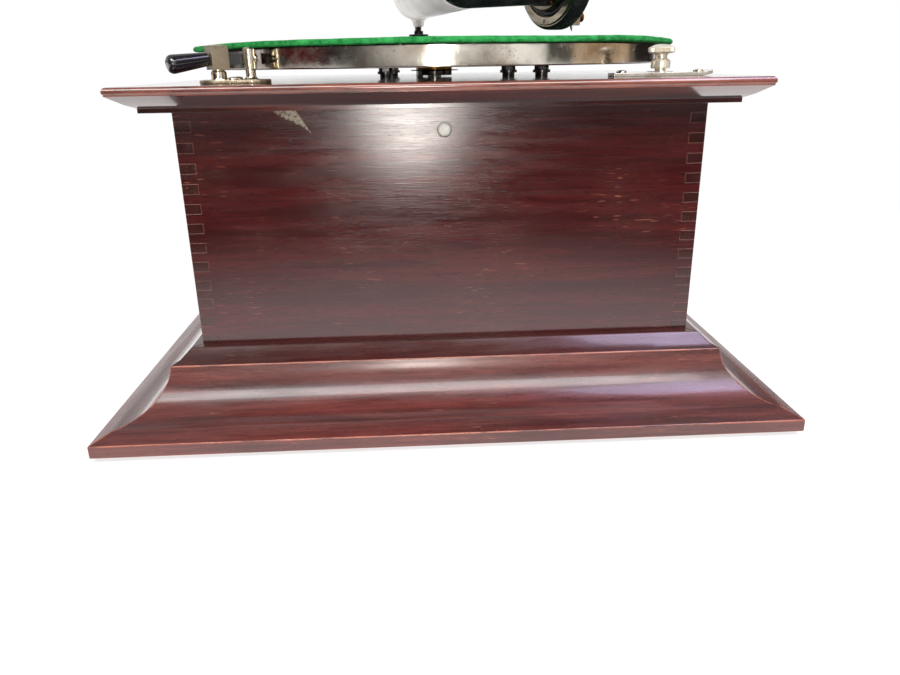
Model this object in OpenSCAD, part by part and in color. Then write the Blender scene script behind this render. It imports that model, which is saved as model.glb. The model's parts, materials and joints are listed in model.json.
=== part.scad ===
// Horn gramophone: a finger-jointed mahogany case on a moulded plinth, a hand-wound
// spring motor, a felted turntable, a tone arm on a rear bracket and a petal horn.
// Frame: origin at the centre of the case's underside, +Z up, -Y the front.

/* [Case] */
// Outside width and depth of the square box
case_w = 242; // [236:1:270]
// Height of the four panels
case_h = 110; // [100:1:135]
// Thickness of the four panels
panel_t = 7.5; // [6:0.5:9]
// Fingers that a side panel shows at each corner
finger_n = 12; // [8:1:16]
// Diameter of the hole in the front panel
plug_d = 6.4; // [4:0.2:9]
// Depth of the plug's face behind the front panel's face
plug_sink = 1.6; // [0.4:0.2:3]
// Drop of that hole below the top of the panel
plug_drop = 10.2; // [8:0.2:24]

/* [Plinth] */
// Height of the moulded plinth
plinth_h = 37.5; // [34:0.5:44]
// Reach of the plinth beyond the box
plinth_over = 44.6; // [41:0.2:52]
// Height of the square edge at the foot of the plinth
plinth_edge = 6; // [4:0.5:8]
// How far the plinth runs in under the panels
plinth_in = 12; // [10:0.5:20]
// Radius of the plinth's cove
cove_r = 24.3; // [22:0.1:26]
// Drop of the cove's centre below the plinth's top
cove_drop = 4.1; // [3:0.1:5]
// Reach of the arris above the cove
ledge_over = 13.2; // [12:0.2:15]
// Drop of that arris
ledge_drop = 6.4; // [6:0.2:8]
// Reach of the flat on top of the plinth
bead_over = 4.6; // [3:0.2:6]
// Reach of the small bevel below that flat
bevel_over = 9.3; // [8:0.1:11]
// Drop of that bevel
bevel_drop = 4.6; // [3:0.2:5]
// Thickness of the bottom board
bottom_t = 12; // [8:0.5:16]
// How far the bottom board stands out below the plinth
foot_h = 2.5; // [1:0.5:5]

/* [Top board] */
// Thickness of the top board
top_t = 11; // [10:0.5:14]
// Reach of the top board beyond the box
top_over = 21.2; // [20:0.2:26]
// Radius of the nose round its edge
nose_r = 1.8; // [1:0.1:2]
// Reach of the neck under that edge
neck_over = 11; // [9:0.2:13]
// Height of the neck
neck_h = 2; // [1:0.2:3]
// Reach of the lip above the neck
lip_over = 15; // [13.6:0.2:17]
// Height of the lip above the board's underside
lip_h = 3.8; // [3.2:0.2:5]

/* [Turntable] */
// Diameter of the platter
platter_d = 254; // [240:1:256]
// Height of the platter's rim
rim_h = 10; // [8:0.5:14]
// Thickness of the rim wall
rim_t = 2; // [1.5:0.1:4]
// Thickness of the platter's top
platter_t = 1.6; // [1.2:0.1:3]
// Space between the top board and the rim
rim_gap = 5.6; // [5:0.1:10]
// Diameter of the felt mat
felt_d = 271; // [240:1:272]
// Thickness of the felt mat
felt_t = 2.6; // [1:0.2:4]
// Diameter of the brass hub under the platter
hub_d = 20.8; // [16:0.2:30]
// Space between the hub and the top board
hub_gap = 0.6; // [0.4:0.1:2]
// Diameter of the spindle in the motor
spindle_d = 8; // [7.6:0.2:9]
// Diameter of the record pin at its top
pin_d = 7.1; // [6.8:0.05:7.3]
// Height of the pin above the felt
pin_h = 3; // [2:0.2:10]

/* [Motor] */
// Module of the spur gears
gear_m = 1; // [0.9:0.02:1.04]
// Teeth on the spindle's pinion
spindle_teeth = 15; // [14:1:16]
// Teeth on the intermediate wheel
wheel_teeth = 60; // [56:1:62]
// Teeth on the intermediate pinion
pinion_teeth = 12; // [12:1:14]
// Teeth round the spring barrel
barrel_teeth = 72; // [70:1:74]
// Place of the barrel to the right of the spindle
barrel_x = 45; // [43:0.5:46]
// Place of the barrel behind the spindle
barrel_y = 60; // [58:0.5:61]
// Height of the barrel's drum
barrel_h = 36; // [28:1:40]
// Wall of the barrel
barrel_wall = 1.5; // [1:0.1:3]
// Turns of the mainspring
spring_turns = 9; // [5:1:12]
// Thickness of the mainspring's strip
spring_t = 0.6; // [0.3:0.1:0.8]
// Diameter of the barrel's arbor
arbor_d = 10; // [8:0.5:11]
// Module of the crown wheel and its pinion
crown_m = 1.5; // [1.4:0.05:1.6]
// Teeth on the crown wheel
crown_teeth = 24; // [24:4:24]
// Teeth on the crank's pinion
crank_teeth = 12; // [12:2:12]
// Teeth on the ratchet
ratchet_teeth = 16; // [16:8:24]
// Radius of the ratchet
ratchet_r = 14; // [13:0.5:15]
// Thickness of the motor's plates
plate_t = 4; // [3:0.5:5]
// Thickness of the wheels
wheel_t = 3; // [2:0.5:4]
// Space above the intermediate wheel, where the ratchet turns
ratchet_space = 7; // [6.5:0.5:9]
// Drop of the crank shaft below the intermediate wheel
crank_drop = 15.5; // [14:0.5:18]
// Diameter of the pillars between the plates
pillar_d = 9; // [7:0.5:12]
// Reach of the motor's plates to the left of the spindle
plate_left = 40; // [38:1:60]
// Reach of the plates to its right
plate_right = 96; // [94:1:102]
// Reach of the plates in front of it
plate_front = 54; // [52:1:60]
// Reach of the plates behind it
plate_back = 100; // [98:1:106]
// Distance of the pillars from the plates' edges
pillar_inset = 8; // [7:0.5:10]

/* [Governor] */
// Teeth on the spindle's governor wheel
gov_teeth = 24; // [24:2:24]
// Threads on the governor's worm
worm_starts = 2; // [2:1:2]
// Pitch radius of the worm
worm_r = 5; // [4.6:0.1:5.6]
// Length of the worm
worm_l = 16; // [12:1:18]
// Drop of the governor below the intermediate wheel
gov_drop = 26; // [24:0.5:28]
// Radius of the governor's shaft
gov_shaft_r = 2.5; // [2:0.1:3]
// Radius of a governor weight
weight_r = 6; // [4:0.5:7]
// Distance of the weights from the shaft
weight_out = 15; // [14:0.5:16]
// Radius of the governor's disc
disc_r = 16; // [13:0.5:18]

/* [Crank] */
// Radius of the crank's shaft
crank_r = 5; // [4:0.5:6]
// Distance of the crank's arm from the box
crank_reach = 49; // [48:1:60]
// Length of the crank's arm between centres
crank_len = 100; // [70:1:104]
// Length of the wooden grip
grip_l = 50; // [40:1:70]
// Largest radius of the grip
grip_r = 11; // [9:0.5:14]

/* [Brake and speed] */
// Space between the felt's edge and the brake's pivot
brake_gap = 9.25; // [8:0.25:14]
// Turn of the brake's place about the spindle, from the right
brake_turn = 224.8; // [222:0.2:228]
// Place of the brake's stop post beside its pivot
stop_off = 14.6; // [12:0.2:16]
// Width of the brake's block
block_w = 8; // [7:0.5:9]
// Height of the brake's block
block_h = 10.4; // [9:0.2:10.6]
// Length of the brake's handle
brake_handle_l = 19; // [15:1:30]
// Radius of the handle at its outer end
brake_handle_r = 4.1; // [3:0.1:4.4]
// Space between the speed knob's cam and the right panel, as a share of the free corner
knob_side = 0.245; // [0.1:0.005:0.4]
// Space between the cam and the front panel, as a share of the free corner
knob_front = 0.439; // [0.1:0.001:0.45]
// Diameter of the speed knob
knob_d = 12.4; // [10:0.2:16]
// Length of the strip under the knob
strip_l = 47; // [44:1:56]
// Width of that strip
strip_w = 12; // [10:0.5:14]

/* [Tone arm] */
// Place of the arm's pivot to the left of the spindle
pivot_x = 6; // [4:0.5:8]
// Place of the arm's pivot behind the spindle
pivot_y = 193; // [190:0.5:198]
// Length of the arm from its pivot to its bend
arm_l = 224; // [216:1:228]
// Turn of the arm at rest, from straight ahead
arm_turn = 6.1; // [4:0.1:8]
// Radius of the elbow at the arm's rear
elbow_r = 20; // [19:0.5:22]
// Radius of the arm at its bend
bend_r = 18.9; // [17.5:0.1:20]
// Radius of the cross tube at the sound box
tube_end_r = 16.3; // [15:0.1:17]
// Turn of the cross tube, from straight across
cross_turn = 27.5; // [20:0.1:32]
// Length of the cross tube
cross_l = 51.5; // [48:0.5:56]
// Wall of the arm's tubes
tube_t = 1.4; // [1:0.1:2]
// Space from the felt to the elbow's underside
elbow_lift = 21.9; // [20:0.1:26]
// Space from the felt to the cross tube's underside
cross_lift = 16.7; // [14:0.1:20]
// Height of the needle's point above the felt
needle_lift = 5.6; // [3:0.1:7]

/* [Sound box] */
// Radius of the sound box
box_r = 29.3; // [28:0.1:29.8]
// Thickness of the sound box
box_t = 10.5; // [9:0.5:16]
// Radius of the mica diaphragm
mica_r = 25; // [22:0.5:25]
// Thickness of the diaphragm
mica_t = 0.4; // [0.2:0.1:0.6]
// Radius of the needle's shank
needle_r = 0.7; // [0.6:0.05:0.8]

/* [Bracket] */
// Thickness of the bracket's web
web_t = 5; // [4:0.5:6]
// Width of the bracket's back plate
foot_w = 56; // [50:1:70]
// Radius of the arm's neck in the bracket's ring
neck_r = 17; // [15:0.5:18]
// Height of the bracket's ring
ring_h = 18; // [16:1:24]

/* [Horn] */
// Length of the horn from its collar to its mouth
horn_l = 440; // [380:5:470]
// Diameter of the mouth
mouth_d = 380; // [320:5:400]
// Tilt of the horn above level
horn_tilt = 35; // [30:1:45]
// Petals round the horn
petal_n = 8; // [6:1:12]
// Thickness of the horn's sheet
sheet_t = 0.8; // [0.6:0.1:1.2]
// Gap at each seam between petals
seam = 0.3; // [0.2:0.1:0.6]
// Radius of the bend in the horn's elbow
elbow_bend = 45; // [38:1:55]

/* [Hidden] */
$fn = 64;
// Running clearance of a shaft in its bore
run = 0.05;
// Clearance of a piece pressed on its shaft
seat = 0.02;
// Space between flat faces that slide past each other
slip = 0.4;
// Extra length of a cutting tool
cut = 1;

// Gear tooth: half widths in pitches and heights in modules
addendum = 0.75;
dedendum = 1.05;
tip_half = 0.10;
root_half = 0.27;

// Levels of the case and turntable
z_plinth = foot_h;
z_body = z_plinth + plinth_h;
z_board = z_body + case_h;
z_top = z_board + top_t;
z_rim = z_top + rim_gap;
z_deck = z_rim + rim_h;
z_felt = z_deck + felt_t;
board_w = case_w + 2 * top_over;
inner = case_w / 2 - panel_t;
finger_h = case_h / (2 * finger_n);

// Levels of the motor, worked down from the board it hangs from
z_plate = z_board - plate_t;
z_wheel = z_plate - ratchet_space - wheel_t;
z_ratchet = z_wheel + wheel_t + (ratchet_space - wheel_t) / 2;
z_crank = z_wheel - crank_drop;
z_gov = z_wheel - gov_drop;
crank_pitch_r = crown_m * crank_teeth / 2;
crown_pitch_r = crown_m * crown_teeth / 2;
crown_face = 4;
crown_t = 4;
z_crown = z_crank - crank_pitch_r - dedendum * crown_m - crown_t;
// Space between wheels that turn one above the other
wheel_space = 3;
barrel_gear_t = 4;
z_barrel_gear = z_crown - wheel_space - barrel_gear_t;
z_drum = z_barrel_gear - barrel_h;
lid_t = 2;
z_base_plate = z_drum - lid_t - wheel_space - plate_t;

// Places of the gear centres
barrel_at = [barrel_x, barrel_y];
spindle_r = spindle_d / 2;
train_1 = gear_m * (spindle_teeth + wheel_teeth) / 2;
train_2 = gear_m * (pinion_teeth + barrel_teeth) / 2;
barrel_far = norm(barrel_at);
barrel_dir = atan2(barrel_at[1], barrel_at[0]);
wheel_dir = barrel_dir + acos((train_1 ^ 2 + barrel_far ^ 2 - train_2 ^ 2) / (2 * train_1 * barrel_far));
wheel_at = train_1 * [cos(wheel_dir), sin(wheel_dir)];
mesh_dir = atan2(barrel_at[1] - wheel_at[1], barrel_at[0] - wheel_at[0]);
wheel_arbor_r = 3;
arbor_top = z_board - 1;
pinion_over = 2;
gov_wheel_t = 6;
// Step from the barrel's pitch circle in to its drum
drum_step = 3;
drum_r = gear_m * barrel_teeth / 2 - drum_step;
gov_wheel_r = gear_m * gov_teeth / 2;
gov_y = -(gov_wheel_r + worm_r);
worm_lead = PI * gear_m * worm_starts;
// The governor's parts along its shaft
gov_lo = -26;
gov_hi = 87;
gov_collar_x = 20;
gov_collar_l = 6;
gov_reach = 15;
gov_weight_x = gov_collar_x + gov_collar_l + gov_reach;
gov_disc_x = gov_weight_x + gov_reach + gov_collar_l;
disc_t = 2.5;
gov_collar_r = 7;
gov_bracket_t = 5;
// The friction lever that the speed knob works
lever_t = 4;
lever_at = [gov_disc_x + disc_t + lever_t + slip, gov_y - disc_r - 2 * lever_t];
lever_h = 6;
pad_y = gov_y - 0.6 * disc_r;
z_tail = z_gov + 10;
cam_r = 4;
// The click that holds the ratchet, its pin set out from the ratchet's centre
pawl_at = barrel_at + [0.64, 1.43] * ratchet_r;
pawl_r = 3.2;
pawl_pin_r = 2;
ratchet_depth = 2;
// Corner of the click's nose in a notch, and the turn about its pin that lifts it over a crest
nose_turn = 360 / ratchet_teeth + 0.9;
nose_in = 0.7 * ratchet_depth;
nose_at = barrel_at + (ratchet_r - nose_in) * [cos(nose_turn), sin(nose_turn)];
pin_far = norm(pawl_at - barrel_at);
nose_far = norm(pawl_at - nose_at);
function pin_angle(r) = acos((pin_far ^ 2 + nose_far ^ 2 - r ^ 2) / (2 * pin_far * nose_far));
crest_turn = pin_angle(ratchet_r + slip) - pin_angle(ratchet_r - nose_in);
crank_bearing_t = 8;
crank_bearing_x = barrel_x + crown_pitch_r + crown_face + crank_bearing_t;
crank_x = case_w / 2 + crank_reach;
crank_arm_t = 5;
crank_arm_w = 12;
grip_pin_r = 3;
// Radius of the grip's ends, as a share of its largest
grip_neck = 0.72;
escutcheon_r = 16;
escutcheon_t = 2;
bolt_r = 2.5;
// Places of the bolts that hang the motor from the board
bolts_at = [[-28.6, -11], [41, -26], [57.5, -40], [-26, 62]];
spindle_hole_r = 7;

// Brake and speed parts on the board
// The brake stands clear of the felt, and its stop post clear of the platter's rim
stop_room = 16.5;
brake_far = max(felt_d / 2 + brake_gap, platter_d / 2 + stop_room);
brake_at = brake_far * [cos(brake_turn), sin(brake_turn)];
// Corner of the case that the knob's cam can reach, and the room from there to the platter
knob_corner = case_w / 2 - panel_t - cam_r;
knob_room = norm([knob_corner, knob_corner]) - platter_d / 2 - knob_d / 2;
knob_at = [knob_corner - knob_side * knob_room, knob_front * knob_room - knob_corner];
plate_h = 1.6;
z_strip = z_top + plate_h;
post_r = 2.7;
block_lift = 4.4;
z_block = z_strip + block_lift;
stop_r = 2.7;
shoe_gap = 0.35;
shoe_t = 2.4;
shoe_h = 5;
shoe_lift = 2;
shoe_l = norm(brake_at) - platter_d / 2 - shoe_gap;
// Swing that brings the shoe round to the rim
shoe_swing = 25;
shoe_turn = atan2(-brake_at[1], -brake_at[0]) - shoe_swing;
block_turn = 35;
handle_dip = 7;
knob_stem_r = 2.5;
knob_drop = 1.6;
knob_h = z_deck - knob_drop - z_strip;

// Tone arm and sound box, built along the arm as it lies at rest
pivot_at = [-pivot_x, pivot_y];
z_arm = z_felt + elbow_lift + elbow_r;
z_cross = z_felt + cross_lift + bend_r;
arm_dir = [sin(arm_turn), -cos(arm_turn)];
bend_at = pivot_at + arm_l * arm_dir;
arm_reach = norm([arm_l, z_arm - z_cross]);
arm_drop = atan2(z_arm - z_cross, arm_l);
// End of the arm's tube, where its bore meets the ball of the cross tube
arm_tip = arm_reach - sqrt(bend_r ^ 2 - (bend_r - tube_t) ^ 2) - run;
cross_dir = [cos(cross_turn), sin(cross_turn)];
hub_at = bend_at + cross_l * cross_dir;
hub_t = 3;
hub_r = 19;
back_t = 2.5;
lip_t = 2;
gasket_t = 1;
z_mica = hub_t + box_t - lip_t - gasket_t - 0.6 - mica_t;
z_gasket = z_mica - gasket_t;
post_w = 3;
post_off = 6;
post_l = 8;
sleeve_in = 8;
needle_tip = z_cross - z_felt - needle_lift;
needle_lean = 8;
bar_pivot = [18, box_t + hub_t + 6];
bar_r = 2.4;
chuck_l = 11;

// Bracket and horn
pivot_r = 2.3;
// Depth of the cup in the elbow that the pivot screw's end sits in
cup_h = 4;
lug_lift = 11.4;
z_lug = z_felt + lug_lift;
elbow_space = 4;
z_ring = z_arm + elbow_r + elbow_space - 1;
lug_r = 8;
lug_h = 12;
// Depth of the pivot screw in the bracket's lug
screw_in = 16;
ring_wall = 9;
back_y = case_w / 2;
back_plate_t = 6;
back_plate_h = 64;
upright_y = pivot_y + elbow_r + elbow_space;
spigot = 16;
flange_w = 7;
flange_t = 4;
z_elbow = z_ring + ring_h + flange_t;
throat_at = [pivot_at[0],
             pivot_at[1] - elbow_bend * (1 - sin(horn_tilt)),
             z_elbow + elbow_bend * cos(horn_tilt)];
horn_steps = 18;
// Share of the horn's flare that is a straight cone
cone_share = 0.42;
mouth_r = mouth_d / 2;
bead_r = 2.4;

// Shapes that repeat

module tube(r_out, r_in, h) difference() {
    cylinder(r = r_out, h = h);
    translate([0, 0, -cut]) cylinder(r = r_in, h = h + 2 * cut);
}

// A cylinder or cone along the level direction dir, from a point
module along(from, dir) translate(from) rotate([0, 90, atan2(dir[1], dir[0])]) children();

// Outline of a gear with straight-sided teeth, tooth 0 on +X
function gear_points(n, m) = [
    for (i = [0 : n - 1], side = [[-root_half, -dedendum], [-tip_half, addendum],
                                  [tip_half, addendum], [root_half, -dedendum]])
        let (a = (i + side[0]) * 360 / n, r = m * (n / 2 + side[1])) [r * cos(a), r * sin(a)]];

module gear(n, m, h, bore) difference() {
    linear_extrude(h) polygon(gear_points(n, m));
    translate([0, 0, -cut]) cylinder(r = bore, h = h + 2 * cut);
}

// Case

// One panel with finger ends, its outer face on the front
module panel(first) translate([0, 0, z_body]) difference() {
    translate([-case_w / 2, -case_w / 2, 0]) cube([case_w, panel_t, case_h]);
    last = 2 * finger_n - 1;
    for (x = [-case_w / 2 - cut, inner], i = [first : 2 : last]) {
        lo = i == 0 ? -cut : i * finger_h;
        hi = i == last ? case_h + cut : (i + 1) * finger_h;
        translate([x, -case_w / 2 - cut, lo]) cube([panel_t + cut, panel_t + 2 * cut, hi - lo]);
    }
}

module front_panel() color("#4a1f1c") difference() {
    panel(0);
    translate([0, -case_w / 2 - cut, z_board - plug_drop]) rotate([-90, 0, 0])
        cylinder(d = plug_d, h = panel_t + 2 * cut);
}

module back_panel() color("#4a1f1c") difference() {
    rotate(180) panel(0);
    for (p = bracket_bolts_at) translate([p[0], inner - cut, p[1]]) rotate([-90, 0, 0])
        cylinder(r = bolt_r + run, h = panel_t + 2 * cut);
}

module left_panel() color("#4a1f1c") rotate(-90) panel(1);

module right_panel() color("#4a1f1c") difference() {
    rotate(90) panel(1);
    translate([inner - cut, barrel_at[1], z_crank]) rotate([0, 90, 0])
        cylinder(r = crank_r + cut, h = panel_t + 2 * cut);
}

// Half of the top board's section, from its middle to its moulded edge
module top_section() translate([case_w / 2, z_board]) union() {
    polygon([[-case_w / 2 - cut, 0], [neck_over, 0], [neck_over, neck_h], [lip_over, lip_h],
             [top_over - nose_r / 4, top_t - 2 * nose_r], [top_over - nose_r, top_t],
             [-case_w / 2 - cut, top_t]]);
    translate([top_over - nose_r, top_t - nose_r]) circle(r = nose_r);
}

module top_prism() rotate([90, 0, 90]) linear_extrude(board_w, center = true) {
    top_section();
    mirror([1, 0]) top_section();
}

module top_board() color("#5a2722") difference() {
    intersection() {
        top_prism();
        rotate(90) top_prism();
    }
    translate([0, 0, z_board - cut]) {
        cylinder(r = spindle_hole_r, h = top_t + 2 * cut);
        for (p = bolts_at) translate(p) cylinder(r = bolt_r + run, h = top_t + 2 * cut);
        translate(knob_at) cylinder(r = knob_stem_r + cut, h = top_t + 2 * cut);
    }
}

// Section of the plinth, out from the middle of the case
module plinth_section() translate([case_w / 2, z_body]) {
    cove_x = ledge_over + sqrt(cove_r ^ 2 - (ledge_drop - cove_drop) ^ 2);
    difference() {
        polygon([[-plinth_in, 0], [bead_over, 0], [bevel_over, -bevel_drop], [ledge_over, -ledge_drop],
                 [cove_x - 2, -ledge_drop], [cove_x - 2, 0.5 - cove_drop - cove_r],
                 [plinth_over, plinth_edge - plinth_h], [plinth_over, -plinth_h], [-plinth_in, -plinth_h]]);
        translate([cove_x, -cove_drop]) circle(r = cove_r);
    }
}

// One mitred length of plinth, on the back
module plinth_side() {
    reach = case_w / 2 + plinth_over + cut;
    intersection() {
        rotate([90, 0, 90]) linear_extrude(2 * reach, center = true) plinth_section();
        linear_extrude(z_board) polygon([[0, 0], [reach, reach], [-reach, reach]]);
    }
}

module plinth_front() color("#5e2a26") rotate(180) plinth_side();
module plinth_back() color("#5e2a26") plinth_side();
module plinth_left() color("#5e2a26") rotate(90) plinth_side();
module plinth_right() color("#5e2a26") rotate(-90) plinth_side();

module bottom_board() color("#6b4630") {
    w = case_w - 2 * plinth_in;
    translate([-w / 2, -w / 2, 0]) cube([w, w, bottom_t]);
}

module front_plug() color("#e9e0cc")
    translate([0, -case_w / 2 + plug_sink, z_board - plug_drop]) rotate([-90, 0, 0])
        cylinder(r = plug_d / 2 - seat, h = panel_t - plug_sink);

module winding_escutcheon() color("#b9b4a8")
    translate([case_w / 2, barrel_at[1], z_crank]) rotate([0, 90, 0])
        tube(escutcheon_r, crank_r + run, escutcheon_t);

// Motor frame

pillars_at = [for (x = [pillar_inset - plate_left, plate_right - pillar_inset],
                   y = [pillar_inset - plate_front, plate_back - pillar_inset]) [x, y]];

module motor_plate(z) translate([-plate_left, -plate_front, z])
    cube([plate_left + plate_right, plate_front + plate_back, plate_t]);

// Bores for the three upright shafts, through a plate at level z
module shaft_bores(z) translate([0, 0, z - cut]) {
    h = plate_t + 2 * cut;
    cylinder(r = spindle_r + run, h = h);
    translate(wheel_at) cylinder(r = wheel_arbor_r + run, h = h);
    translate(barrel_at) cylinder(r = arbor_d / 2 + run, h = h);
}

module motor_top_plate() color("#6f7072") difference() {
    motor_plate(z_plate);
    shaft_bores(z_plate);
    translate([0, 0, z_plate - cut]) {
        for (p = bolts_at) translate(p) cylinder(r = bolt_r + run, h = plate_t + 2 * cut);
        translate(pawl_at) cylinder(r = pawl_pin_r + run, h = plate_t + 2 * cut);
        translate(lever_at) cylinder(r = pawl_pin_r + run, h = plate_t + 2 * cut);
    }
}

module motor_base_plate() color("#6f7072") difference() {
    motor_plate(z_base_plate);
    shaft_bores(z_base_plate);
}

module motor_pillars() color("#8a8b8c") for (p = pillars_at)
    translate([p[0], p[1], z_base_plate + plate_t])
        cylinder(d = pillar_d, h = z_plate - z_base_plate - plate_t);

// Flanged hexagon bolts: block, washer, head and shank
module motor_bolts() color("#1d1d1f") for (p = bolts_at) translate([p[0], p[1], z_top]) {
    block = 1.7;
    block_d = 7;
    washer = 1.5;
    washer_d = 9.6;
    head = 3;
    head_d = 8;
    cylinder(d = block_d, h = block);
    translate([0, 0, block]) cylinder(d = washer_d, h = washer);
    translate([0, 0, block + washer]) cylinder(d = head_d, h = head, $fn = 6);
    translate([0, 0, z_plate - z_top]) cylinder(r = bolt_r, h = z_top - z_plate + cut);
}

// A block hung under the top plate, bored along X for a shaft of radius r
module bearing(x, y, z, r, t) difference() {
    wall = 4;
    translate([x, y - r - wall, z - r - wall]) cube([t, 2 * (r + wall), z_plate - z + r + wall]);
    translate([x - cut, y, z]) rotate([0, 90, 0]) cylinder(r = r + run, h = t + 2 * cut);
}

module shaft_bearings() color("#7b7a76") {
    bearing(crank_bearing_x, barrel_at[1], z_crank, crank_r, crank_bearing_t);
    for (x = [gov_lo, gov_hi - gov_bracket_t]) bearing(x, gov_y, z_gov, gov_shaft_r, gov_bracket_t);
}

// Motor wheels

module spindle() color("#b8b6b0") translate([0, 0, z_base_plate]) {
    cylinder(r = spindle_r, h = z_felt - z_base_plate);
    cylinder(d = pin_d, h = z_felt + pin_h - z_base_plate);
    translate([0, 0, z_felt + pin_h - z_base_plate]) cylinder(d1 = pin_d, d2 = 0.7 * pin_d, h = pin_d / 7);
}

module spindle_pinion() color("#c2a14d") translate([0, 0, z_wheel - pinion_over]) rotate(wheel_dir)
    gear(spindle_teeth, gear_m, wheel_t + 2 * pinion_over, spindle_r + seat);

module governor_wheel() color("#c2a14d") translate([0, 0, z_gov - gov_wheel_t / 2]) rotate(-90)
    gear(gov_teeth, gear_m, gov_wheel_t, spindle_r + seat);

module intermediate_wheel() color("#c2a14d") translate([wheel_at[0], wheel_at[1], z_wheel])
    rotate(wheel_dir + 180 + 180 / wheel_teeth) gear(wheel_teeth, gear_m, wheel_t, wheel_arbor_r + seat);

module intermediate_pinion() color("#8e9092") translate([wheel_at[0], wheel_at[1], 0]) {
    translate([0, 0, z_base_plate]) cylinder(r = wheel_arbor_r, h = arbor_top - z_base_plate);
    translate([0, 0, z_barrel_gear - pinion_over]) rotate(mesh_dir)
        linear_extrude(barrel_gear_t + 2 * pinion_over) polygon(gear_points(pinion_teeth, gear_m));
}

module spring_barrel() color("#b08d3f") translate([barrel_at[0], barrel_at[1], 0]) {
    translate([0, 0, z_barrel_gear]) rotate(mesh_dir + 180 + 180 / barrel_teeth)
        gear(barrel_teeth, gear_m, barrel_gear_t, arbor_d / 2 + run);
    translate([0, 0, z_drum]) tube(drum_r, drum_r - barrel_wall, barrel_h);
}

module barrel_lid() color("#b08d3f") translate([barrel_at[0], barrel_at[1], z_drum - lid_t])
    tube(drum_r, arbor_d / 2 + run, lid_t);

// Point of a flat spiral, a turns out from its inner radius lo to hi
function spiral(a, lo, hi) = (lo + (hi - lo) * a / spring_turns) * [cos(360 * a), sin(360 * a)];

// Spiral strip between the arbor and the drum
module mainspring() color("#4d5a6b") translate([barrel_at[0], barrel_at[1], z_drum + slip]) {
    lo = arbor_d / 2 + slip;
    hi = drum_r - barrel_wall - slip - spring_t;
    step = 1 / 24;
    linear_extrude(barrel_h - 2 * slip) polygon(concat(
        [for (a = [0 : step : spring_turns]) spiral(a, lo, hi)],
        [for (a = [0 : step : spring_turns]) spiral(spring_turns - a, lo + spring_t, hi + spring_t)]));
}

module barrel_arbor() color("#8e9092") translate([barrel_at[0], barrel_at[1], z_base_plate])
    cylinder(d = arbor_d, h = arbor_top - z_base_plate);

// Crown wheel: straight teeth standing on a disc
module crown_wheel() color("#8e9092") translate([barrel_at[0], barrel_at[1], z_crown]) {
    pitch = PI * crown_m;
    tooth_h = (addendum + dedendum) * crown_m;
    tube(crown_pitch_r + crown_face / 2, arbor_d / 2 + seat, crown_t);
    for (i = [0 : crown_teeth - 1]) rotate((i + 0.5) * 360 / crown_teeth)
        translate([crown_pitch_r - crown_face / 2, 0, crown_t]) rotate([90, 0, 90])
            linear_extrude(crown_face) polygon([[-root_half * pitch, -cut], [-tip_half * pitch, tooth_h],
                     [tip_half * pitch, tooth_h], [root_half * pitch, -cut]]);
}

// Saw teeth: a long rise and a straight face
module ratchet_wheel() color("#8e9092") translate([barrel_at[0], barrel_at[1], z_ratchet]) difference() {
    linear_extrude(wheel_t) polygon([for (i = [0 : ratchet_teeth - 1], k = [0, 1])
        let (a = i * 360 / ratchet_teeth, r = ratchet_r - k * ratchet_depth) [r * cos(a), r * sin(a)]]);
    translate([0, 0, -cut]) cylinder(r = arbor_d / 2 + seat, h = wheel_t + 2 * cut);
}

// Click that stands over a crest of the ratchet, ready to drop, with its pin up into the plate
module pawl() color("#77787a") translate([pawl_at[0], pawl_at[1], z_ratchet]) {
    nose_tip = ratchet_depth * [cos(nose_turn), sin(nose_turn)];
    cylinder(r = pawl_r, h = wheel_t);
    cylinder(r = pawl_pin_r, h = z_plate + plate_t - slip - z_ratchet);
    rotate(crest_turn) linear_extrude(wheel_t)
        polygon([nose_at - pawl_at, nose_at - pawl_at + nose_tip, [pawl_r - slip, 0], [0, 0]]);
}

// Governor

module governor_shaft() color("#8e9092") translate([gov_lo, gov_y, z_gov]) rotate([0, 90, 0])
    cylinder(r = gov_shaft_r, h = gov_hi - gov_lo);

// Threads of the worm: lobes of one section, twisted along the shaft
module governor_worm() color("#8e9092") translate([-worm_l / 2, gov_y, z_gov]) rotate([0, 90, 0])
    difference() {
    lobe = 360 / worm_starts;
    rotate(180 * worm_l / worm_lead) linear_extrude(worm_l, twist = 360 * worm_l / worm_lead,
        slices = 30, segments = 12) polygon([
        for (i = [0 : worm_starts - 1], side = [[-root_half, -dedendum], [-tip_half, addendum],
             [0, addendum], [tip_half, addendum], [root_half, -dedendum], [0.5, -dedendum]])
            let (a = (i + side[0]) * lobe, r = worm_r + side[1] * gear_m) [r * cos(a), r * sin(a)]]);
    translate([0, 0, -cut]) cylinder(r = gov_shaft_r + run, h = worm_l + 2 * cut);
}

// Fixed collar, sliding collar with the friction disc, and the leaf springs between
module governor_collars() color("#c2a14d") translate([0, gov_y, z_gov]) rotate([0, 90, 0]) {
    translate([0, 0, gov_collar_x]) tube(gov_collar_r, gov_shaft_r + seat, gov_collar_l);
    translate([0, 0, gov_disc_x - gov_collar_l]) tube(gov_collar_r, gov_shaft_r + seat, gov_collar_l);
    translate([0, 0, gov_disc_x]) tube(disc_r, gov_shaft_r + seat, disc_t);
    strip = 0.5;
    out = weight_out - weight_r - strip;
    for (a = [0, 120, 240]) rotate(a) rotate([90, 0, 0]) linear_extrude(4, center = true)
        polygon([[gov_collar_r - cut, gov_collar_x], [gov_collar_r, gov_collar_x],
                 [out + strip, gov_weight_x], [gov_collar_r, gov_disc_x],
                 [gov_collar_r - cut, gov_disc_x], [out, gov_weight_x]]);
}

module governor_weights() color("#55565a") translate([gov_weight_x, gov_y, z_gov]) rotate([0, 90, 0])
    for (a = [0, 120, 240]) rotate(a) translate([weight_out, 0, 0]) sphere(weight_r);

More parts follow.
